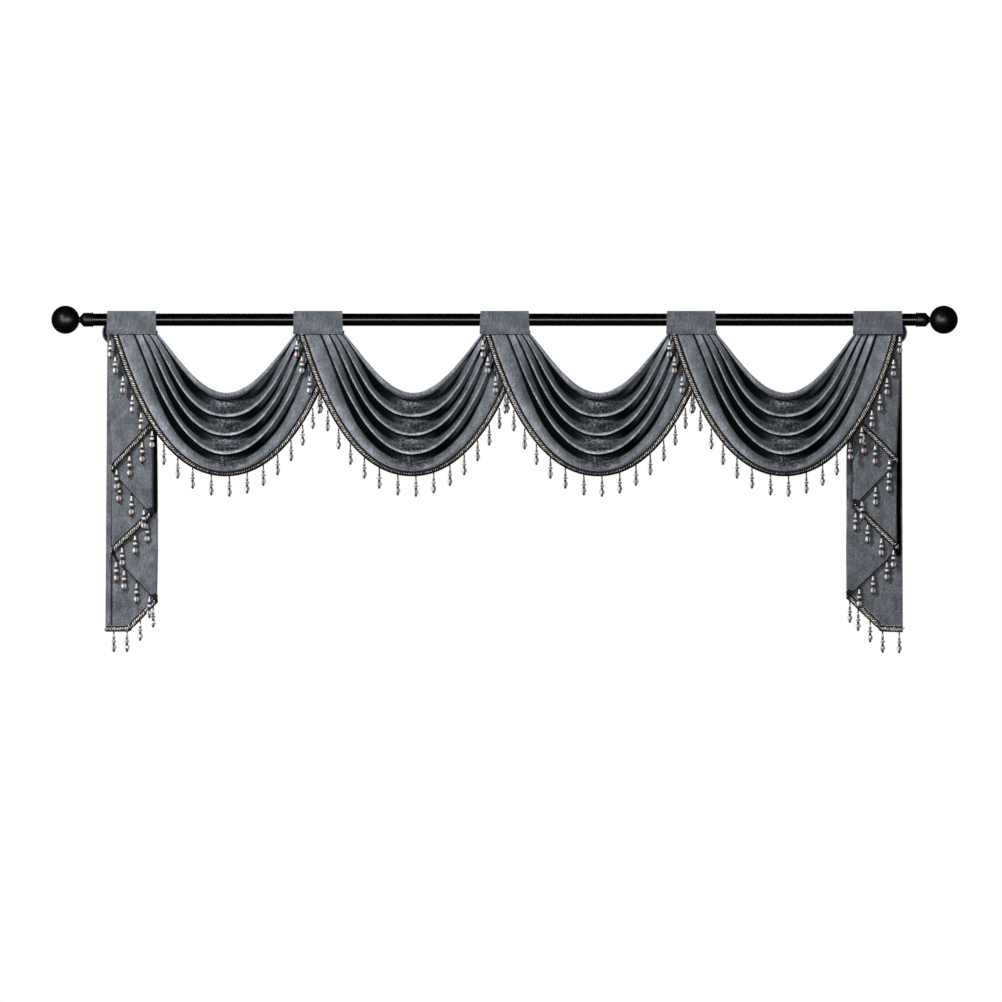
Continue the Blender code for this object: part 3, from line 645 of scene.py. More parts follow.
def grained(name, grain, stops, relief=None, **shader_values):
    """A material whose colour follows a grain of (scale, detail) in the piece's own
    space. relief is (scale, detail, strength, distance) of the grain of its surface."""
    material, tree, shader = new_material(name, **shader_values)
    place = own_space(tree)
    feed(tree, shader, {"Base Color": add_ramp(tree, add_noise(tree, place, *grain), stops)})
    if relief:
        height = add_noise(tree, place, *relief[:2])
        feed(tree, shader, {"Normal": add_bump(tree, height, *relief[2:])})
    return material


def chenille(settings):
    """Chenille: cut pile yarns woven flat. The pile gives a mottled grey-blue face,
    short vertical streaks where it leans, and pale edges where it is seen side on."""
    material, tree, shader = new_material(
        "chenille_cloth", Roughness=0.85, Sheen_Roughness=0.4, Sheen_Tint=linear("B4B8C0"))
    uv = add_node(tree, "ShaderNodeUVMap", uv_map="cloth").outputs["UV"]
    # Yarn streaks about 2 mm across and 25 mm long, drawn coarse enough to show.
    streaks = add_noise(tree, stretched(tree, uv, 420.0, 45.0, 1.0), 1.0, 3.0, 0.6)
    # Clumps of leaning pile of 4 to 8 mm, single tufts of 1.5 mm, and broad patches.
    clumps = add_noise(tree, uv, 170.0, 4.0, 0.68)
    tufts = add_noise(tree, uv, 620.0, 2.0, 0.7)
    patches = add_noise(tree, uv, 24.0, 3.0, 0.6)
    total = add_math(tree, "ADD", add_math(tree, "ADD", streaks, clumps),
                     add_math(tree, "ADD", tufts, patches))
    pile = add_math(tree, "MULTIPLY", total, 0.25)
    tone = add_ramp(tree, pile, (
        (0.42, "484C53"), (0.48, "5D6269"), (0.54, "72777F"), (0.62, "9297A0")))
    # Painted highlights and shade where the pile is crushed: specks and short dashes, light and
    # dark.
    specks = add_noise(tree, stretched(tree, uv, 140.0, 260.0, 1.0), 1.0, 2.0, 0.6)
    around = add_math(tree, "SUBTRACT", specks, 0.5)
    crushed = add_math(tree, "MULTIPLY", around, mesh_value(tree, "crush"))
    lit = add_math(tree, "MULTIPLY_ADD", crushed, SPECK_STRENGTH, mesh_value(tree, "light"),
                   use_clamp=True)
    # Painted shade and highlight: the light attribute darkens the colour, sheen and gloss deep in
    # a fold and brightens the colour on a lip.
    depth = add_range(tree, add_math(tree, "POWER", lit, LIGHT_POWER),
                      settings.painted_fold_shade, FLAT_LIGHT ** -LIGHT_POWER)
    feed(tree, shader, {
        "Base Color": dimmed(tree, tone, depth),
        "Sheen Weight": add_math(tree, "MULTIPLY", depth, 0.35),
        "Specular IOR Level": add_math(tree, "MULTIPLY", depth, 0.12),
        "Normal": add_bump(tree, pile, 0.5, 0.0014),
    })
    return material


def rayon_gimp():
    """Rayon gimp: shiny champagne thread wound over a core."""
    return grained(
        "champagne_rayon_gimp", (260.0, 2.0),
        ((0.38, "3F3531"), (0.50, "A69B92"), (0.62, "FFF8F0")), (260.0, 2.0, 0.3, 0.0006),
        Roughness=0.42, Specular_IOR_Level=0.6, Sheen_Weight=0.2)


def woven_tape():
    """Woven polyester tape in black: matt, with a fine rib."""
    return grained(
        "black_woven_tape", (700.0, 1.0), ((0.3, "030303"), (0.7, "0E0C0A")),
        (700.0, 1.0, 0.3, 0.0005), Roughness=0.7, Specular_IOR_Level=0.08)


def acrylic(name, tint, body, clearness, edge, core):
    """Cut acrylic, tinted, with painted light: bright in the middle, painted shade towards the
    ends of a bead, where its mesh says less light, and a painted dark rim as dark as edge at
    its sides. A drop that hangs clear of the cloth is painted pale instead, with its dark
    thread painted through its middle, both as strong as core."""
    material, tree, shader = new_material(
        name, Roughness=0.10, IOR=1.49, Transmission_Weight=clearness)
    cloud = add_noise(tree, own_space(tree), 260.0, 1.0)
    colour = add_ramp(tree, cloud, ((0.40, body), (0.60, tint)))
    depth = add_range(tree, mesh_value(tree, "light"), 0.05, 1.0)
    cut = add_math(tree, "MULTIPLY", depth, mesh_value(tree, "facet"))
    # Painted pale where the drop hangs clear of the cloth.
    pale = add_math(tree, "MULTIPLY", mesh_value(tree, "clear_of_cloth"), core)
    lifted = add_math(tree, "MAXIMUM", cut, pale)
    # Painted dark rim where each facet is seen side on.
    facing = add_node(tree, "ShaderNodeLayerWeight", {"Blend": 0.5}).outputs["Facing"]
    painted_rim_shade = add_range(tree, facing, 1.1, edge, 0.50)
    rimmed = add_math(tree, "MULTIPLY", lifted, painted_rim_shade)
    # Painted dark in the middle of a drop clear of the cloth, as its thread seen through it.
    middle = add_range(tree, facing, 1.0, 0.0, 0.08, 0.34)
    seen = add_math(tree, "MULTIPLY", pale, middle)
    left = add_math(tree, "SUBTRACT", 1.0, seen)
    both = add_math(tree, "MULTIPLY", rimmed, left)
    feed(tree, shader, {"Base Color": dimmed(tree, colour, both)})
    return material


def waxed_thread():
    """Waxed nylon thread, dark grey."""
    return grained("waxed_thread", (900.0, 2.0), ((0.3, "100D0C"), (0.7, "2C2725")),
                   Roughness=0.5, Specular_IOR_Level=0.15)


def black_enamel(name, roughness):
    """Sprayed enamel on steel: near black, slight orange peel."""
    return grained(name, (18.0, 4.0), ((0.3, "010101"), (0.7, "040405")),
                   (320.0, 2.0, 0.06, 0.0004), Roughness=roughness, Specular_IOR_Level=0.13)


def painted_floor():
    """Plain matt board in a pale warm white."""
    return grained("pale_floor", (2.0, 2.0), ((0.3, "ECEBE9"), (0.7, "F3F2F0")),
                   Roughness=0.9, Specular_IOR_Level=0.2)


MAKERS = {
    "cloth": lambda: chenille(bpy.context.scene.drape_cloth),
    "gimp": rayon_gimp,
    "tape": woven_tape,
    "bead": lambda: acrylic("clear_acrylic_bead", "FFFFFF", "F0EEF2", 0.20, 0.70, 0.90),
    "clear": lambda: acrylic("clear_acrylic_crystal", "FFFFFF", "DAD8DE", 0.06, 0.05, 0.0),
    "rose": lambda: acrylic("rose_acrylic_crystal", "FFF5F3", "E9C3C0", 0.06, 0.05, 0.0),
    "thread": waxed_thread,
    "enamel": lambda: black_enamel("black_gloss_enamel", 0.22),
    "satin": lambda: black_enamel("black_satin_enamel", 0.36),
    "floor": painted_floor,
}
_made = {}


def finish_of(name):
    if name not in _made:
        _made[name] = MAKERS[name]()
    return _made[name]


# ---- the swag's form -----------------------------------------------------------

def swag_layer(along):
    return mix(SWAG_FRONT_LAYER, SWAG_BACK_LAYER, smooth_step(-0.6, 0.6, along))


def near_middle(across, reach=MIDDLE_REACH):
    """1 where the folds are crushed together at a swag's middle, fading to 0."""
    return np.exp(-((across - MIDDLE_X) / reach) ** 2)


def part_of(line):
    """The last word of a line's name, which says what part of a fold it is."""
    return line.name.split("_")[-1]


def swag_curve(line, along):
    """Points of a fold line; along runs from -1 at the left end to 1 at the right."""
    along = np.asarray(along, dtype=float)
    rest = np.abs(along)
    share = 1.0 - rest
    pull = line.half_width * line.start_pull
    slope = math.radians(line.angle)
    weights = (rest ** 3, 3 * rest * rest * share, 3 * rest * share * share, share ** 3)
    reach = (line.half_width, line.half_width - pull * math.cos(slope),
             line.half_width * line.mid_pull, 0.0)
    fall = (0.0, pull * math.sin(slope), line.drop, line.drop)
    across = sum(w * value for w, value in zip(weights, reach)) * np.sign(along)
    drop = sum(w * value for w, value in zip(weights, fall))
    skew = SWAG_SKEW * (1.0 + 0.4 * share) * (1.0 - line.drop / TRIM_LINE.drop)
    full = SWAG_FULL * rest ** 3 * share * line.drop / TRIM_LINE.drop
    skew = skew + np.where(along > 0.0, full, 0.0)
    swell = 0.5 - 0.5 * np.cos(math.pi * share)
    belly = SWAG_BELLY * np.where(along < 0.0, swell ** SWAG_EARLY, swell ** SWAG_LATE)
    spread = smooth_step(0.0, 1.0, share / np.where(along < 0.0, *PLEAT_ENDS))
    # The right end's pleats stand forward of their layer, where there is room.
    forward = PLEAT_FORWARD * smooth_step(0.0, 0.3, along)
    relief = mix(line.pleat + forward, line.relief, spread)
    if part_of(line) == "top":
        relief = relief + SWAG_RIDGE * near_middle(across + skew)
    return np.stack([
        across + skew,
        -ROD_STANDOFF + swag_layer(along) - belly - relief,
        HEADING_SEAM - drop,
    ], -1)


def even_alongs(line, count):
    fine = np.linspace(-1.0, 1.0, 1201)
    points = swag_curve(line, fine)
    lengths = np.concatenate([[0.0], np.cumsum(np.linalg.norm(np.diff(points, axis=0), axis=1))])
    return np.interp(np.linspace(0.0, lengths[-1], count), lengths, fine)


def swag_light(alongs, rows, steps):
    """The painted light and shade all over a swag, before its creases."""
    parts = [part_of(line) for line in SWAG_LINES]
    share = 1.0 - np.abs(alongs)
    near = near_middle(rows[..., 0], SHADE_REACH)
    lights = np.array([
        np.interp(share, FLANK_TO_ARC, (line.flank, line.arc)) for line in SWAG_LINES])
    # Painted light on the right, where the lips turn away from the light: the lips are painted
    # darker, and below them the painted shade is kept to a narrow strip.
    turned = np.where(alongs > 0.0, smooth_step(0.0, 0.3, share), 0.0)
    opened = turned * smooth_step(*RIGHT_OPENS, share) * smooth_step(*RIGHT_CLOSES, share)
    gains = np.array([RIGHT_GAIN.get(part, 0.0) for part in parts])
    lights *= 1.0 + gains[:, None] * turned
    below_lips = np.array([part in ("top", "under") for part in parts])
    lights = np.where(below_lips[:, None], np.maximum(lights, RIGHT_OPEN * opened), lights)
    fades = np.array([part == "top" for part in parts])[:, None] * opened
    middles = np.array([[line.middle] for line in SWAG_LINES])
    lights = mix(lights, middles, near)
    # Painted shade beside the heading, where the pleats go behind it.
    lights *= mix(END_PAINTED_SHADE, 1.0, smooth_step(0.0, END_REACH, share))

    turns = np.array([SHADE_STEP.get(line.name, SHADE_STEP.get(part_of(line), EVEN_STEP))
                      for line in SWAG_LINES])
    places = np.array([np.interp(share, STEP_FLANK_TO_ARC, turn[:2]) for turn in turns])
    places = mix(places, turns[:, 2:3], near)
    return np.clip(stepped_rows(lights, places, turns[:, 3], fades, steps), 0.0, 1.0)


def swag_crush(grid, steps):
    """How crushed the pile is, which shows only about a swag's middle."""
    crush = np.array([np.full(grid.shape[1], CRUSH.get(part_of(line), 0.0))
                      for line in SWAG_LINES])
    count = len(SWAG_LINES)
    crush = stepped_rows(crush, np.full_like(crush, 0.5), np.ones(count), np.zeros(count), steps)
    return near_middle(grid[..., 0]) * crush


def creased(waves, across, down):
    """Noise from -1 to 1; waves says how many there are across and down, and its plane."""
    return noise.noise(Vector((across * waves[0], down * waves[1], waves[2])))


def swag_grid(settings):
    """The swag's surface about its middle and the painted light and shade on it, creased and
    crumpled.
    """
    alongs = even_alongs(TRIM_LINE, settings.columns)
    rows = np.array([swag_curve(line, alongs) for line in SWAG_LINES])
    grid = spline_rows(rows, settings.row_steps)
    light = swag_light(alongs, rows, settings.row_steps)
    crush = swag_crush(grid, settings.row_steps)

    folds = np.linspace(0.0, 1.0, len(grid))
    wrinkles = np.array([[creased(SWAG_WRINKLES, along, fold) for along in alongs]
                         for fold in folds])
    crumples = np.array([[0.5 * creased(BROAD_CREASES, x, z) + 0.5 * creased(FINE_CREASES, x, z)
                          for x, _, z in row] for row in grid])
    relief = wrinkles * WRINKLE_HEIGHT + crumples * mix(CREASE_HEIGHT, CRUSHED_HEIGHT, crush)
    inside = smooth_step(0.0, 0.25, 1.0 - np.abs(alongs))[None, :]
    above_edge = smooth_step(0.0, 0.05, folds[::-1])[:, None]
    relief = relief * inside * above_edge * settings.crumple
    grid = grid + grid_normals(grid) * relief[..., None]
    # Painted highlights and shade on the crumples.
    light = np.clip(light + mix(CREASE_PAINTED_LIGHT, CRUSHED_PAINTED_LIGHT, crush) * crumples, 0.0, 1.0)

    tuck = grid[:, [0, -1]] + np.array([0.0, 0.0, TUCK])
    grid = np.concatenate([tuck[:, :1], grid, tuck[:, 1:]], axis=1)
    light = np.pad(light, ((0, 0), (1, 1)), mode="edge")
    crush = np.pad(np.maximum(crush, FLAT_CRUSH), ((0, 0), (1, 1)), mode="edge")
    return grid, light, crush


def swag_rails():
    """The cloth's lower edge and the braid's outer edge, about the swag's middle."""
    alongs = even_alongs(TRIM_LINE, 241)
    lowered = np.where(np.abs(alongs) > 0.999, END_LOWERED, 0.0)
    rails = [swag_curve(line, alongs) for line in (SWAG_LINES[-1], TRIM_LINE)]
    for rail in rails:
        rail[:, 2] -= lowered
    return alongs, *rails


# ---- the tail's form -----------------------------------------------------------

# A column of a tail: its place inwards at the heading and at the hem, the height
# of the hem, its layer, how far it stands back from the fold's outermost line,
# the upright height of its braid, and how far behind the cloth the braid lies.
Column = namedtuple("Column", "top inward height layer tuck rise behind")


def tail_tops(hem):
    """How far inwards each corner of the hem starts at the heading."""
    tops = [TAIL_TOP_INNER if row.inward > 0.0 else -TAIL_TOP_OUTER for row in hem]
    tops[-3] = TAIL_TOP_WIDEST
    tops[-2] = hem[-2].inward
    return tops


def is_fold(row):
    return row.name.startswith("fold")


def back_of(row):
    """The way a fold's cloth turns back from it: 1 inwards and -1 outwards."""
    return -math.copysign(1.0, row.inward)


def layer_column(hem, tops, number, share):
    """The column at a share of the way along the hem to a corner."""
    start, end = hem[number - 1], hem[number]
    edge = float(smooth_step(0.0, 0.16, min(share, 1.0 - share)))
    tuck = behind = 0.0
    rise = BRAID_ON_SLOPE
    if end.layer % 2 == 1:
        rise = mix(BRAID_ON_SLOPE, BRAID_BEHIND, edge)
        behind = edge
    if end.name == "outer_end":
        rise = mix(BRAID_AT_CORNER, BRAID_LEVEL, float(smooth_step(0.0, 0.2, share)))
    if end.name == "corner":
        rise = mix(BRAID_ON_SLOPE, BRAID_AT_CORNER, float(smooth_step(0.9, 1.0, share)))
    if share > 0.98 and is_fold(end):
        tuck = back_of(end)
    elif share < 0.02 and is_fold(start):
        tuck = back_of(start)
    return Column(
        mix(tops[number - 1], tops[number], share), mix(start.inward, end.inward, share),
        mix(start.height, end.height, share), float(end.layer), tuck, rise, behind)


def tail_columns(hem, steps):
    """Columns from the inner edge to the outer, with the folds rounded."""
    tops = tail_tops(hem)
    columns = []
    for number in range(1, len(hem)):
        end = hem[number]
        count = steps if end.name == "corner" else steps + 1
        columns += [layer_column(hem, tops, number, step / steps) for step in range(count)]
        for step in range(1, TURN_STEPS if is_fold(end) else 1):
            angle = math.pi * step / TURN_STEPS
            columns.append(Column(
                tops[number], end.inward, end.height, end.layer + 0.5 - 0.5 * math.cos(angle),
                back_of(end) * (1.0 - math.sin(angle)), BRAID_ON_SLOPE, 0.0))
    return columns


def tail_points(columns, heights, side, deepest):
    """Points of the tail's surface, one for each column, at the given heights."""
    middle = side * (HEADING_COUNT - 1) / 2.0 * HEADING_PITCH
    points = []
    for column, height in zip(columns, heights):
        level = (HEADING_SEAM - height) / (HEADING_SEAM - deepest)
        rate = TAIL_SWING if column.top > 0.0 or column.layer < 4.0 else 1.0
        place = mix(column.top, column.inward, min(1.0, level * rate))
        pitch = mix(TAIL_TOP_PITCH, TAIL_HEM_PITCH, float(smooth_step(0.0, 0.4, level)))
        place += column.tuck * pitch * TUCK_WIDTH
        phase = column.layer * WAVE_PHASES[0] + column.inward * WAVE_PHASES[1]
        wave = TAIL_WAVE * math.sin(phase) * float(smooth_step(0.05, 0.6, level))
        depth = TAIL_FRONT + column.layer * pitch + wave
        points.append((middle - side * place, depth - ROD_STANDOFF, height))
    return np.array(points)


def tail_light(columns, grid, side):
    """Painted light on a tail: painted shadow where a layer dips behind the one before it."""
    light = np.full(grid.shape[:2], FLAT_LIGHT)
    for dip in TAIL_PAINTED_SHADOWS[side]:
        for j, column in enumerate(columns):
            near = 1.0 - abs(column.inward - dip.inward) / dip.reach
            if column.layer <= dip.layer or near <= 0.0:
                continue
            shade = dip.shade * (near if dip.soft else 1.0)
            light[:, j] *= np.where(grid[:, j, 2] > dip.lowest, 1.0 - shade, 1.0)
    return light


def tail_form(hem, side, settings):
    """The tail's grid, and its two braid rails with how far behind each point lies."""
    deepest = min(row.height for row in hem)
    columns = tail_columns(hem, settings.tail_steps)
    if side < 0.0:
        columns.reverse()
    low = np.array([column.height + column.rise for column in columns])
    grid = np.array([
        tail_points(columns, mix(HEADING_SEAM, low, share), side, deepest)
        for share in np.linspace(0.0, 1.0, settings.tail_rows)])
    normals = grid_normals(grid)
    ripple = np.zeros(grid.shape[:2])
    for i, row in enumerate(grid):
        for j, point in enumerate(row):
            long = noise.noise(Vector(point * LONG_RIPPLES)) * LONG_RIPPLE_HEIGHT
            small = noise.noise(Vector(point * SMALL_RIPPLES)) * SMALL_RIPPLE_HEIGHT
            below_seam = (HEADING_SEAM - point[2]) / RIPPLE_FADE
            ripple[i, j] = (long + small) * min(1.0, max(0.0, below_seam))
    grid = grid + normals * ripple[..., None]
    light = tail_light(columns, grid, side)
    tuck = grid[:1] + np.array([0.0, 0.0, TUCK])
    outer = tail_points(columns, [column.height for column in columns], side, deepest)
    behind = np.array([column.behind for column in columns])
    light = np.concatenate([light[:1], light])
    return np.concatenate([tuck, grid]), light, grid[-1], outer, behind, normals[-1]


def tail_roots(hem, side):
    """Where a tail's drops hang from, their lengths, and whether each hangs clear."""
    deepest = min(row.height for row in hem)
    tops = tail_tops(hem)
    columns = []
    lengths = []
    clears = []
    for number in range(1, len(hem)):
        start, end = hem[number - 1], hem[number]
        for place in end.drops:
            share = (start.inward - place) / (start.inward - end.inward)
            columns.append(Column(
                mix(tops[number - 1], tops[number], share), place,
                mix(start.height, end.height, share), float(end.layer), 0.0, 0.0, 0.0))
            lengths.append(end.drop_length)
            clears.append(not is_fold(end))
    points = tail_points(columns, [column.height for column in columns], side, deepest)
    return points, lengths, clears


# ---- braid and beads -----------------------------------------------------------

def geometry_tree(name, sockets):
    """A geometry tree with its Geometry sockets and the named inputs given."""
    tree = bpy.data.node_groups.new(name, "GeometryNodeTree")
    tree.is_modifier = True
    face = tree.interface
    face.new_socket("Geometry", in_out="INPUT", socket_type="NodeSocketGeometry")
    for label, value in sockets.items():
        kind = "NodeSocketMaterial" if value is None else "NodeSocketFloat"
        socket = face.new_socket(label, in_out="INPUT", socket_type=kind)
        if value is not None:
            socket.default_value = value
    face.new_socket("Geometry", in_out="OUTPUT", socket_type="NodeSocketGeometry")
    start = tree.nodes.new("NodeGroupInput")
    end = tree.nodes.new("NodeGroupOutput")
    return tree, start.outputs, end.inputs


def carried(tree, label, kind="FLOAT"):
    """A value that the points or faces carry under a name, as a geometry tree reads it."""
    return add_node(tree, "GeometryNodeInputNamedAttribute", {"Name": label},
                    data_type=kind).outputs[0]


def add_vector(tree, x=0.0, y=0.0, z=0.0):
    return add_node(tree, "ShaderNodeCombineXYZ", {"X": x, "Y": y, "Z": z}).outputs[0]


def painted(tree, geometry, material, selection=True):
    return add_node(tree, "GeometryNodeSetMaterial", {
        "Geometry": geometry, "Selection": selection, "Material": material}).outputs[0]


def stitch_mesh():
    """One wound stitch: a tapering tube that leans over the half-round of the braid."""
    vertices = []
    for across in np.linspace(-1.0, 1.0, STITCH_RINGS):
        height = math.sqrt(max(0.0, 1.0 - across * across))
        centre = Vector((across * STITCH_LEAN, across * STITCH_HALF_WIDTH, height * STITCH_RISE))
        thickness = STITCH_THICK * (0.45 + 0.55 * height)
        for k in range(STITCH_SIDES):
            angle = -2.0 * math.pi * k / STITCH_SIDES
            vertices.append(centre + Vector((
                thickness * math.cos(angle), 0.0, thickness * math.sin(angle))))
    return new_mesh("gimp_stitch", vertices, tube_faces(STITCH_RINGS, STITCH_SIDES))


def plait_tree():
    """Stitches wound over the braid, evenly spaced along its path and as wide as it."""
    tree, given, result = geometry_tree("gimp_plait", {"Pitch": STITCH_PITCH, "Gimp": None})
    curve = add_node(tree, "GeometryNodeMeshToCurve", {"Mesh": given["Geometry"]})
    even = add_node(tree, "GeometryNodeResampleCurve", {
        "Curve": curve.outputs[0], "Length": given["Pitch"]}, mode="LENGTH")
    tangent = add_node(tree, "GeometryNodeInputTangent")
    turn = add_node(tree, "FunctionNodeAxesToRotation", {
        "Primary Axis": carried(tree, "front", "FLOAT_VECTOR"),
        "Secondary Axis": tangent.outputs[0]}, primary_axis="Z", secondary_axis="X")
    width = carried(tree, "width")
    pattern = bpy.data.objects.new("gimp_stitch", stitch_mesh())
    stitch = add_node(tree, "GeometryNodeObjectInfo", {"Object": pattern})
    placed = add_node(tree, "GeometryNodeInstanceOnPoints", {
        "Points": even.outputs[0], "Instance": stitch.outputs["Geometry"],
        "Rotation": turn.outputs[0], "Scale": add_vector(tree, width, width, 1.0)})
    real = add_node(tree, "GeometryNodeRealizeInstances", {0: placed.outputs[0]})
    smooth = add_node(tree, "GeometryNodeSetShadeSmooth", {0: real.outputs[0]})
    tree.links.new(painted(tree, smooth.outputs[0], given["Gimp"]), result[0])
    return tree, [pattern]


def bead_mesh(bead):
    """A bead as stacked rings of facets. Its light attribute paints shade towards its ends,
    and its facet attribute paints bright facets beside facets in painted shade."""
    profile = (
        (1.0, 0.45 * bead.top),
        (0.86, bead.top),
        (0.38, mix(bead.top, bead.middle, 0.86)),
        (0.0, bead.middle),
        (-0.38, mix(bead.foot, bead.middle, 0.86)),
        (-0.86, bead.foot),
        (-1.0, 0.45 * bead.foot),
    )
    # A crystal has four wide facets, with a narrow one in painted shade between each two.
    crystal = bead.finish == CRYSTAL
    narrow, bright_fall = (NARROW_FACET, CRYSTAL_FALL) if crystal else (0.0, BEAD_FALL)
    vertices = []
    lights = []
    for height, radius in profile:
        for k in range(BEAD_SIDES):
            angle = 2.0 * math.pi * (k + (k % 2) * narrow) / BEAD_SIDES
            vertices.append((radius * math.cos(angle), radius * math.sin(angle),
                             height * bead.half_height))
            fall = bright_fall * abs(height - bead.bright) ** 3
            lights.append(max(0.03, 1.0 - fall))
    mesh = new_mesh(f"bead_{bead.name}", vertices, tube_faces(len(profile), BEAD_SIDES))
    dark = PAINTED_DARK_FACET if crystal else 1.0
    store(mesh, "light", lights)
    store(mesh, "facet", [0.5, 0.5] + [1.0, dark] * (len(mesh.polygons) // 2 - 1), "FACE")
    return mesh


def hung(tree, points, pattern, finish, shift, **placing):
    """A pattern hung at every point, moved up or down, its faces marked with a finish."""
    marked = add_node(tree, "GeometryNodeStoreNamedAttribute", {
        "Geometry": pattern, "Name": "finish", "Value": finish}, data_type="INT", domain="FACE")
    placed = add_node(tree, "GeometryNodeInstanceOnPoints", {
        "Points": points, "Instance": marked.outputs[0], **placing})
    return add_node(tree, "GeometryNodeTranslateInstances", {
        "Instances": placed.outputs[0], "Translation": add_vector(tree, z=shift),
        "Local Space": False}).outputs[0]


def finish_is(tree, operation, number):
    """The faces whose finish compares with a number as asked."""
    return add_node(tree, "FunctionNodeCompare", {2: carried(tree, "finish", "INT"), 3: number},
                    data_type="INT", operation=operation).outputs[0]


def drop_tree():
    """A thread with its beads, hung from each point by the point's own length."""
    tree, given, result = geometry_tree("bead_drops", {
        "Thread Radius": THREAD_RADIUS, "Bead Size": 1.0,
        "Thread": None, "Bead": None, "Clear": None, "Rose": None})
    points = given["Geometry"]
    length = carried(tree, "length")
    slack = carried(tree, "slack")
    spin = add_vector(tree, z=carried(tree, "turn"))

    rope = add_node(tree, "GeometryNodeMeshCylinder", {
        "Vertices": 6, "Radius": given["Thread Radius"], "Depth": 1.0})
    upright = add_node(tree, "GeometryNodeTransform", {
        "Geometry": rope.outputs[0], "Translation": (0.0, 0.0, -0.48)})
    tall = add_vector(tree, 1.0, 1.0, add_math(tree, "ADD", length, slack))
    hanging = [hung(tree, points, upright.outputs[0], THREAD, slack, Scale=tall)]
    patterns = []
    for bead in BEADS:
        pattern = bpy.data.objects.new(f"bead_{bead.name}", bead_mesh(bead))
        shaped = add_node(tree, "GeometryNodeObjectInfo", {"Object": pattern})
        down = add_math(tree, "MULTIPLY", length, -bead.hang)
        hanging.append(hung(tree, points, shaped.outputs["Geometry"], bead.finish, down,
                            Rotation=spin, Scale=given["Bead Size"]))
        patterns.append(pattern)
    joined = add_node(tree, "GeometryNodeJoinGeometry")
    for geometry in hanging:
        tree.links.new(geometry, joined.inputs[0])

    drops = add_node(tree, "GeometryNodeRealizeInstances", {0: joined.outputs[0]}).outputs[0]
    drops = add_node(tree, "GeometryNodeSetShadeSmooth", {
        "Geometry": drops, "Shade Smooth": finish_is(tree, "LESS_EQUAL", BEAD)}).outputs[0]
    for label, number in (("Thread", THREAD), ("Bead", BEAD), ("Clear", CRYSTAL)):
        drops = painted(tree, drops, given[label], finish_is(tree, "EQUAL", number))
    warm = add_node(tree, "FunctionNodeCompare", {0: carried(tree, "rosy"), 1: 0.5},
                    data_type="FLOAT", operation="GREATER_THAN")
    rosy = add_node(tree, "FunctionNodeBooleanMath", {
        0: finish_is(tree, "EQUAL", CRYSTAL), 1: warm.outputs[0]}, operation="AND")
    tree.links.new(painted(tree, drops, given["Rose"], rosy.outputs[0]), result[0])
    return tree, patterns


def grown_piece(name, base, tree, patterns, finishes):
    """A piece made by running a geometry tree, with the patterns it uses, on a base."""
    obj = bpy.data.objects.new(f"{name}_base", base)
    bpy.context.scene.collection.objects.link(obj)
    modifier = obj.modifiers.new("grow", "NODES")
    modifier.node_group = tree
    sockets = {item.name: item.identifier for item in tree.interface.items_tree
               if item.item_type == "SOCKET" and item.in_out == "INPUT"}
    for label, finish in finishes.items():
        modifier[sockets[label]] = finish_of(finish)
    ready = obj.evaluated_get(bpy.context.evaluated_depsgraph_get())
    mesh = bpy.data.meshes.new_from_object(ready)
    mesh.name = name
    for used in (obj, *patterns):
        bpy.data.objects.remove(used, do_unlink=True)
    bpy.data.node_groups.remove(tree)
    return link(mesh)


def path_mesh(name, points, fronts, widths):
    """A line of edges that the stitches follow, with the way they face and their width."""
    mesh = new_mesh(name, points.tolist(), edges=[(k, k + 1) for k in range(len(points) - 1)])
    store(mesh, "front", fronts)
    store(mesh, "width", widths)
    return mesh


def points_mesh(name, drops, seed):
    """Loose points above the drops, each with its length of beads, its bare thread
    above them, whether it hangs clear of the cloth, a turn and a colour."""
    points, lengths, slacks, clears = drops
    rng = np.random.default_rng(seed)
    mesh = new_mesh(name, points.tolist())
    store(mesh, "length", lengths)
    store(mesh, "slack", slacks)
    store(mesh, "clear_of_cloth", clears)
    store(mesh, "turn", rng.uniform(*BEAD_TURNS, len(points)))
    store(mesh, "rosy", rng.uniform(size=len(points)) < 0.5)
    return mesh


def tape_profile():
    """Cross-section of the braid's tape: flat behind, half-round in front."""
    half, edge = TAPE_THICK / 2.0, TAPE_THICK * TAPE_EDGE
    crown = [(TAPE_CROWN_HALF * math.cos(angle), half + TAPE_CROWN * math.sin(angle))
             for angle in np.linspace(0.0, math.pi, 7)]
    return [(-0.5, -half), (0.5, -half), (0.5, edge), *crown, (-0.5, edge)]


def make_trim(name, inner, outer, fronts, drops, edges, seed):
    """The tape, its plait and its bead drops between two rails. edges is how much wider
    the tape is than the plait."""
    centres = (inner + outer) / 2.0
    runs = unit(np.gradient(centres, axis=0))
    across = unit(np.cross(runs, fronts))
    upright = np.abs((unit(outer - inner) * across).sum(axis=1))
    widths = np.linalg.norm(outer - inner, axis=1) * np.maximum(upright, LEAST_UPRIGHT)
    tape = link(swept_mesh(f"{name}_tape", centres, fronts, widths, tape_profile()), "tape")

    raised = centres + fronts * (TAPE_THICK * 0.5)
    share = np.clip((widths - edges) / (2.0 * STITCH_HALF_WIDTH), *STITCH_SIZES)
    share = share * np.minimum(1.0, share)
    plait = grown_piece(f"{name}_plait", path_mesh(f"{name}_path", raised, fronts, share),
                        *plait_tree(), {"Gimp": "gimp"})
    beads = grown_piece(f"{name}_beads", points_mesh(f"{name}_roots", drops, seed),
                        *drop_tree(),
                        {"Thread": "thread", "Bead": "bead", "Clear": "clear", "Rose": "rose"})
    return [fit(tape, name), fit(plait),
            fit(beads)]


# ---- pieces --------------------------------------------------------------------

def make_turned(name, profile, sides, axis, place, finish, node):
    mesh = turned_mesh(name, profile, sides, axis, place)
    fit(link(mesh, finish), node)


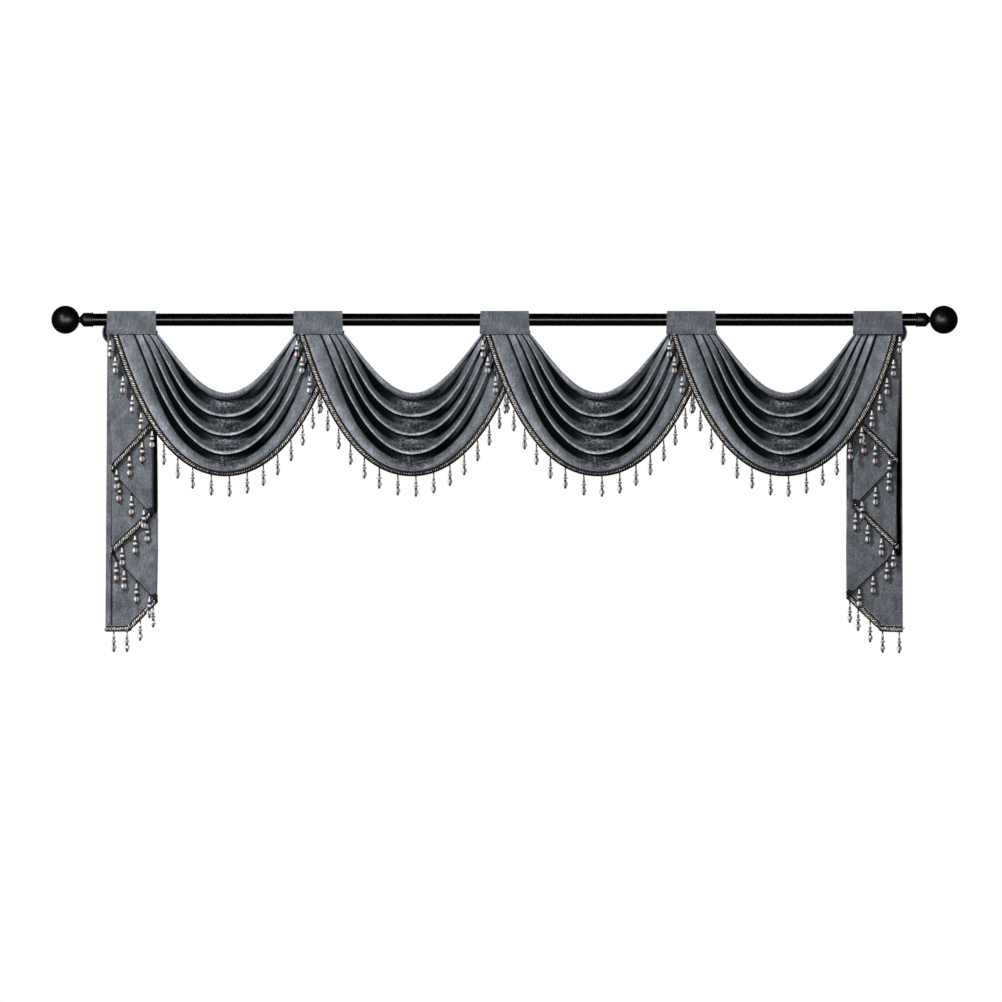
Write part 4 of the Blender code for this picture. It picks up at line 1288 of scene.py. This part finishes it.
def make_rod():
    end, inset = ROD_HALF_LENGTH, ROD_HALF_LENGTH - ROD_BEVEL
    rim = ROD_RADIUS - ROD_BEVEL
    profile = [(-end, 0.0), (-end, rim), (-inset, ROD_RADIUS),
               (inset, ROD_RADIUS), (end, rim), (end, 0.0)]
    make_turned("rod_tube", profile, ROD_SIDES, "X", (0.0, -ROD_STANDOFF, 0.0), "enamel", "rod")


def make_finial(side_name, side):
    last = math.pi - math.asin(NECK_RADIUS / BALL_RADIUS)
    profile = [(BALL_CENTRE + BALL_RADIUS, 0.0)]
    for angle in np.linspace(0.0, last, BALL_STEPS + 1)[1:]:
        profile.append((BALL_CENTRE + BALL_RADIUS * math.cos(angle),
                        BALL_RADIUS * math.sin(angle)))
    profile += FINIAL_NECK
    profile = [(side * along, radius) for along, radius in profile]
    make_turned(f"ball_finial_{side_name}", profile, FITTING_SIDES, "X",
                (0.0, -ROD_STANDOFF, 0.0), "satin", f"finial_{side_name}")


def make_bracket(side_name, side):
    make_turned(f"wall_plate_{side_name}", PLATE_PROFILE, FITTING_SIDES, "Y",
                (side * BRACKET_X, 0.0, PLATE_HEIGHT), "enamel", f"bracket_plate_{side_name}")

    bm = bmesh.new()
    start = side * BRACKET_X - ARM_WIDTH / 2.0
    loop = [bm.verts.new((start, y - ROD_STANDOFF, z)) for y, z in arm_outline()]
    swept = bmesh.ops.extrude_face_region(bm, geom=[bm.faces.new(loop)])
    moved = [item for item in swept["geom"] if isinstance(item, bmesh.types.BMVert)]
    bmesh.ops.translate(bm, verts=moved, vec=(ARM_WIDTH, 0.0, 0.0))
    cup = link(closed_mesh(new_mesh(f"bracket_cup_{side_name}", []), bm, ARM_SHARP), "enamel")
    bevel = cup.modifiers.new("rounded edges", "BEVEL")
    bevel.width = 0.0006
    bevel.segments = 2
    bevel.limit_method = "ANGLE"
    bevel.angle_limit = math.radians(40.0)
    fit(cup, f"bracket_arm_{side_name}")


def arc(radius, degrees):
    return [(radius * math.cos(math.radians(angle)), radius * math.sin(math.radians(angle)))
            for angle in degrees]


def arm_outline():
    """Side view of the bracket's arm and cup as (y, z) about the rod axis."""
    inner = (ROD_RADIUS + ROD_PLAY) / math.cos(math.radians(2.0))
    outer = inner + CUP_THICK
    return [*arc(inner, range(190, 351, 4)), *arc(outer, range(350, 309, -4)), *ARM_CORNERS,
            *arc(outer, range(280, 189, -4))]


def heading_path(back_leg):
    """Middle line of the heading's cloth as (y, z, half_width) about the rod axis."""
    top = HEADING_TOP - 0.0010
    radius = (ROD_RADIUS + LOOP_PLAY) / math.cos(math.radians(9.0))
    front = -HEADING_FRONT
    path = [(front - out, z, HEADING_HALF_SEAM) for z, out in HEADING_STITCHES]
    for step in range(1, HEADING_RISE_STEPS + 1):
        z = mix(HEADING_STITCHES[-1][0], top - 0.0026, step / HEADING_RISE_STEPS)
        share = (z - HEADING_SEAM) / (top - HEADING_SEAM)
        path.append((front - 0.0003, z, mix(HEADING_HALF_SEAM, HEADING_HALF_TOP, share)))
    for y, z in ((0.0002, top - 0.0012), (0.0012, top - 0.0003), (0.0026, top)):
        path.append((front + y, z, HEADING_HALF_TOP))
    path.append((front + 0.0050, top - 0.0003, mix(HEADING_HALF_TOP, LOOP_HALF_WIDTH, 0.5)))
    path.append((front + 0.0075, top - 0.0010, LOOP_HALF_WIDTH))
    path.append((front * 0.40, mix(top, radius, 0.70), LOOP_HALF_WIDTH))
    leg_top = HEADING_SEAM + TUCK
    last = math.atan2(leg_top, back_leg) + math.acos(radius / math.hypot(back_leg, leg_top))
    for angle in np.linspace(math.radians(90.0), last, LOOP_STEPS + 1):
        path.append((radius * math.cos(angle), radius * math.sin(angle), LOOP_HALF_WIDTH))
    for step in range(1, LEG_STEPS + 1):
        share = step / LEG_STEPS
        path.append((mix(radius * math.cos(last), back_leg, share),
                     mix(radius * math.sin(last), leg_top, share), LOOP_HALF_WIDTH))
    path.append((back_leg, HEADING_SEAM, LOOP_HALF_WIDTH))
    return path


def heading_point(number, row, across):
    """A point of a heading at one row of its path; only its front panel is uneven."""
    index, (y, z, half_width) = row
    x = (number - (HEADING_COUNT + 1) / 2.0) * HEADING_PITCH + across * half_width
    wave = 0.0
    if index < HEADING_FRONT_ROWS:
        wave = creased((32.0, 30.0, number * 5.3), x, z) * HEADING_WAVE
        wave += creased((120.0, 40.0, number * 2.1), x, z) * HEADING_RIPPLE
    return x, y - ROD_STANDOFF - wave, z


def make_cloth(name, grid, thickness, light, crush, node, plain_back=False):
    mesh = sheet_mesh(name, grid, thickness, light, crush, plain_back)
    return fit(link(mesh, "cloth"), node)


def make_heading(number):
    outermost = number in (1, HEADING_COUNT)
    path = heading_path(LOOP_BACK_TAIL if outermost else LOOP_BACK_PLAIN)
    # The path runs upwards in front, so the rows are turned to face outwards.
    grid = np.array([
        [heading_point(number, row, across) for across in np.linspace(-1.0, 1.0, HEADING_COLUMNS)]
        for row in enumerate(path)])[::-1]
    # Painted light: a painted shadow along the seam, a painted highlight above it, and painted
    # shade where the cloth turns away over the rod.
    height = grid[..., 2]
    light = np.interp(height, *HEADING_SEAM_PAINTED_LIGHT)
    light = np.where(height > HEADING_TOP_TURN, HEADING_TOP_PAINTED_SHADE, light)
    obj = make_cloth(f"heading_cloth_{number}", grid, HEADING_THICK, light,
                     np.zeros_like(light), f"heading_{number}")


def swag_drops(middle, alongs, inner, outer):
    """Where a swag's drops hang from, their lengths and slacks, and which hang clear."""
    roots = []
    slacks = [DROP_SLACKS.get(place, 0.0) for place in SWAG_DROPS]
    for place, slack in zip(SWAG_DROPS, slacks):
        k = int(np.argmin(np.abs(outer[:, 0] - middle - place)))
        outward = unit(outer[k] - inner[k])
        lean = DROP_LEAN * float(smooth_step(0.1, -0.3, alongs[k]))
        roots.append(outer[k] + np.array([outward[0] * DROP_STEP, -lean, -slack]))
    clears = [place > OVER_SWAG and abs(place + middle) < OVER_TAIL for place in SWAG_DROPS]
    return np.array(roots), [DROP_LENGTH] * len(roots), slacks, clears


def make_swag(number, settings):
    middle = SWAG_MIDDLES[number - 1]
    along_rod = np.array([middle, 0.0, 0.0])
    grid, light, crush = swag_grid(settings)
    grid = grid + along_rod
    obj = make_cloth(f"swag_cloth_{number}", grid, CLOTH_THICK, light, crush,
                     f"swag_{number}", plain_back=True)

    alongs, inner, outer = swag_rails()
    inner = inner + along_rod
    outer = outer + along_rod
    runs = unit(np.gradient(inner, axis=0))
    fronts = unit(np.cross(outer - inner, runs))
    trim = make_trim(f"swag_trim_{number}", inner, outer, fronts,
                     swag_drops(middle, alongs, inner, outer), SWAG_TAPE_EDGES, SWAG_SEED + number)


def make_tail(side_name, side, hem, settings):
    grid, light, inner, outer, behind, normals = tail_form(hem, side, settings)
    obj = make_cloth(f"tail_cloth_{side_name}", grid, CLOTH_THICK, light,
                     np.full_like(light, TAIL_CRUSH), f"tail_{side_name}")

    # Where the layer shows its far face, the braid lies behind the cloth.
    fronts = unit(normals)
    upper = mix(inner, outer, 0.02)
    lift = np.clip(BRAID_ON_SLOPE - np.linalg.norm(outer - inner, axis=1), 0.0, None)
    upper[:, 2] += lift * behind
    shift = fronts * (BEHIND_SHIFT * behind)[:, None]
    roots, lengths, clears = tail_roots(hem, side)
    trim = make_trim(f"tail_trim_{side_name}", upper + shift, outer + shift * 0.3, fronts,
                     (roots, lengths, np.zeros(len(roots)), clears), TAIL_TAPE_EDGES,
                     TAIL_SEED + int(side))


# ---- add-on --------------------------------------------------------------------

class DrapeClothSettings(bpy.types.PropertyGroup):
    """How finely the cloth is made."""
    columns: IntProperty(
        name="Columns", description="Columns across a swag", default=181, min=41, max=401)
    row_steps: IntProperty(
        name="Row steps", description="Rows between two fold lines", default=6, min=2, max=12)
    crumple: FloatProperty(
        name="Crumple", description="Strength of the small creases", default=1.0,
        min=0.0, max=2.0, subtype="FACTOR")
    # Painted shade: how much of its colour the cloth keeps deep in a fold.
    painted_fold_shade: FloatProperty(
        name="Fold shade", description="How much light the pile returns deep in a fold",
        default=0.030, min=0.0, max=1.0, subtype="FACTOR")
    tail_steps: IntProperty(
        name="Tail steps", description="Columns across one layer of a tail", default=32,
        min=6, max=40)
    tail_rows: IntProperty(
        name="Tail rows", description="Rows down a tail", default=70, min=10, max=200)


class DrapeStageSettings(bpy.types.PropertyGroup):
    """The studio."""
    floor_height: FloatProperty(
        name="Floor height", description="Height of the floor below the rod axis",
        default=-1.90, unit="LENGTH")
    backdrop: FloatVectorProperty(
        name="Background", description="Colour of the surroundings",
        default=(1.0, 1.0, 1.0), size=3, subtype="COLOR", min=0.0, max=1.0)
    ambient: FloatProperty(
        name="Ambient", description="Strength of the light from all round", default=0.20,
        min=0.0)
    key_power: FloatProperty(
        name="Key light", description="Power of the main light", default=390.0, unit="POWER")
    strip_power: FloatProperty(
        name="Strip light", description="Power of the long light level with the rod",
        default=260.0, unit="POWER")


FLOOR_HALF = 9.0
GLOSS_AMBIENT = 0.15            # of the light from all round, what gloss shows
CAMERA_WIDTH = 2.505
CAMERA_PLACE = (-0.009, -4.0, -0.4532)

# Lamps: place, aim, size, share of their power, and whether they light the cloth too.
# Those that don't are for the sheen of the metal and the beads.
LAMPS = (
    ("key_light", (-4.2, -5.0, 2.6), (0.0, -0.1, -0.3), (0.35, 0.35), 1.0, True),
    ("strip_light", (0.0, -3.4, 0.0), (0.0, -0.1, 0.0), (3.2, 0.50), 1.0, False),
    ("side_light", (-2.5, -3.2, 0.0), (-1.1, 0.0, 0.0), (0.5, 0.5), 0.4, False),
)


def new_world(settings):
    """A plain bright surround that lights the cloth much less than it shows, and
    shows in gloss least of all."""
    world = bpy.data.worlds.new("studio")
    world.use_nodes = True
    tree = world.node_tree
    colour = (*settings.backdrop, 1.0)
    seen = tree.nodes["Background"]
    seen.inputs["Color"].default_value = colour
    ambient = add_node(tree, "ShaderNodeBackground", {
        "Color": colour, "Strength": settings.ambient})
    dim = add_node(tree, "ShaderNodeBackground", {
        "Color": colour, "Strength": settings.ambient * GLOSS_AMBIENT})
    ray = add_node(tree, "ShaderNodeLightPath").outputs
    soft = add_node(tree, "ShaderNodeMixShader", {
        0: ray["Is Glossy Ray"], 1: ambient.outputs[0], 2: dim.outputs[0]})
    direct = add_math(tree, "MAXIMUM", ray["Is Camera Ray"], ray["Is Transmission Ray"])
    chosen = add_node(tree, "ShaderNodeMixShader", {
        0: direct, 1: soft.outputs[0], 2: seen.outputs[0]})
    tree.links.new(chosen.outputs[0], tree.nodes["World Output"].inputs["Surface"])
    return world


def add_camera(scene):
    lens = bpy.data.cameras.new("camera")
    lens.type = "ORTHO"
    lens.ortho_scale = CAMERA_WIDTH
    lens.clip_end = 50.0
    camera = bpy.data.objects.new("camera", lens)
    camera.location = CAMERA_PLACE
    camera.rotation_euler = (math.radians(90.0), 0.0, 0.0)
    scene.collection.objects.link(camera)
    scene.camera = camera
    scene.view_settings.view_transform = "Standard"


def add_light(name, place, aim, size, power, lights_cloth):
    lamp = bpy.data.lights.new(name, "AREA")
    lamp.shape = "RECTANGLE"
    lamp.size, lamp.size_y = size
    lamp.energy = power
    obj = bpy.data.objects.new(name, lamp)
    obj.location = place
    obj.rotation_euler = (Vector(aim) - Vector(place)).to_track_quat("-Z", "Y").to_euler()
    obj.visible_camera = False
    obj.visible_diffuse = lights_cloth
    bpy.context.scene.collection.objects.link(obj)


class DRAPE_OT_stage(bpy.types.Operator):
    """Make the floor, the lights and the camera"""
    bl_idname = "drape.stage"
    bl_label = "Make the stage"

    def execute(self, context):
        settings = context.scene.drape_stage
        corners = [(x * FLOOR_HALF, y * FLOOR_HALF, settings.floor_height)
                   for x, y in ((-1, -1), (1, -1), (1, 1), (-1, 1))]
        floor = link(new_mesh("pale_floor", corners, [(0, 1, 2, 3)]), "floor")
        floor.visible_glossy = False
        context.scene.world = new_world(settings)
        for name, place, aim, size, share, lights_cloth in LAMPS:
            power = settings.key_power if lights_cloth else settings.strip_power * share
            add_light(name, place, aim, size, power, lights_cloth)
        add_camera(context.scene)
        return {"FINISHED"}


class DRAPE_OT_rod(bpy.types.Operator):
    """Make the rod, its ball finials and its two brackets"""
    bl_idname = "drape.rod"
    bl_label = "Make the rod"

    def execute(self, context):
        make_rod()
        for side_name, side in (("left", -1.0), ("right", 1.0)):
            make_finial(side_name, side)
            make_bracket(side_name, side)
        return {"FINISHED"}


class DRAPE_OT_headings(bpy.types.Operator):
    """Make the flat headings that hang the cloth on the rod"""
    bl_idname = "drape.headings"
    bl_label = "Make the headings"

    def execute(self, context):
        for number in range(1, HEADING_COUNT + 1):
            make_heading(number)
        return {"FINISHED"}


class DRAPE_OT_swags(bpy.types.Operator):
    """Make the four swags with their beaded braid"""
    bl_idname = "drape.swags"
    bl_label = "Make the swags"

    def execute(self, context):
        for number in range(1, HEADING_COUNT):
            make_swag(number, context.scene.drape_cloth)
        return {"FINISHED"}


class DRAPE_OT_tails(bpy.types.Operator):
    """Make the two pleated tails with their beaded braid"""
    bl_idname = "drape.tails"
    bl_label = "Make the tails"

    def execute(self, context):
        make_tail("left", -1.0, TAIL_LEFT, context.scene.drape_cloth)
        make_tail("right", 1.0, TAIL_RIGHT, context.scene.drape_cloth)
        return {"FINISHED"}


class DRAPE_PT_panel(bpy.types.Panel):
    """Lists the drape's settings and pieces"""
    bl_idname = "DRAPE_PT_panel"
    bl_label = "Swag and tail drape"
    bl_space_type = "VIEW_3D"
    bl_region_type = "UI"
    bl_category = "Drape"

    def draw(self, context):
        layout = self.layout
        for group in (context.scene.drape_cloth, context.scene.drape_stage):
            box = layout.box()
            for name in group.bl_rna.properties.keys():
                if name not in ("rna_type", "name"):
                    box.prop(group, name)
        for operator in OPERATORS:
            layout.operator(operator.bl_idname)


OPERATORS = (DRAPE_OT_stage, DRAPE_OT_rod, DRAPE_OT_headings, DRAPE_OT_swags, DRAPE_OT_tails)
CLASSES = (DrapeClothSettings, DrapeStageSettings, *OPERATORS, DRAPE_PT_panel)


def register():
    for entry in CLASSES:
        bpy.utils.register_class(entry)
    bpy.types.Scene.drape_cloth = PointerProperty(type=DrapeClothSettings)
    bpy.types.Scene.drape_stage = PointerProperty(type=DrapeStageSettings)


def unregister():
    del bpy.types.Scene.drape_stage
    del bpy.types.Scene.drape_cloth
    for entry in reversed(CLASSES):
        bpy.utils.unregister_class(entry)


def main():
    register()
    for operator in OPERATORS:
        group, name = operator.bl_idname.split(".")
        result = getattr(getattr(bpy.ops, group), name)()
        if result != {"FINISHED"}:
            raise RuntimeError(f"{operator.bl_label} did not finish")


if __name__ == "__main__":
    main()
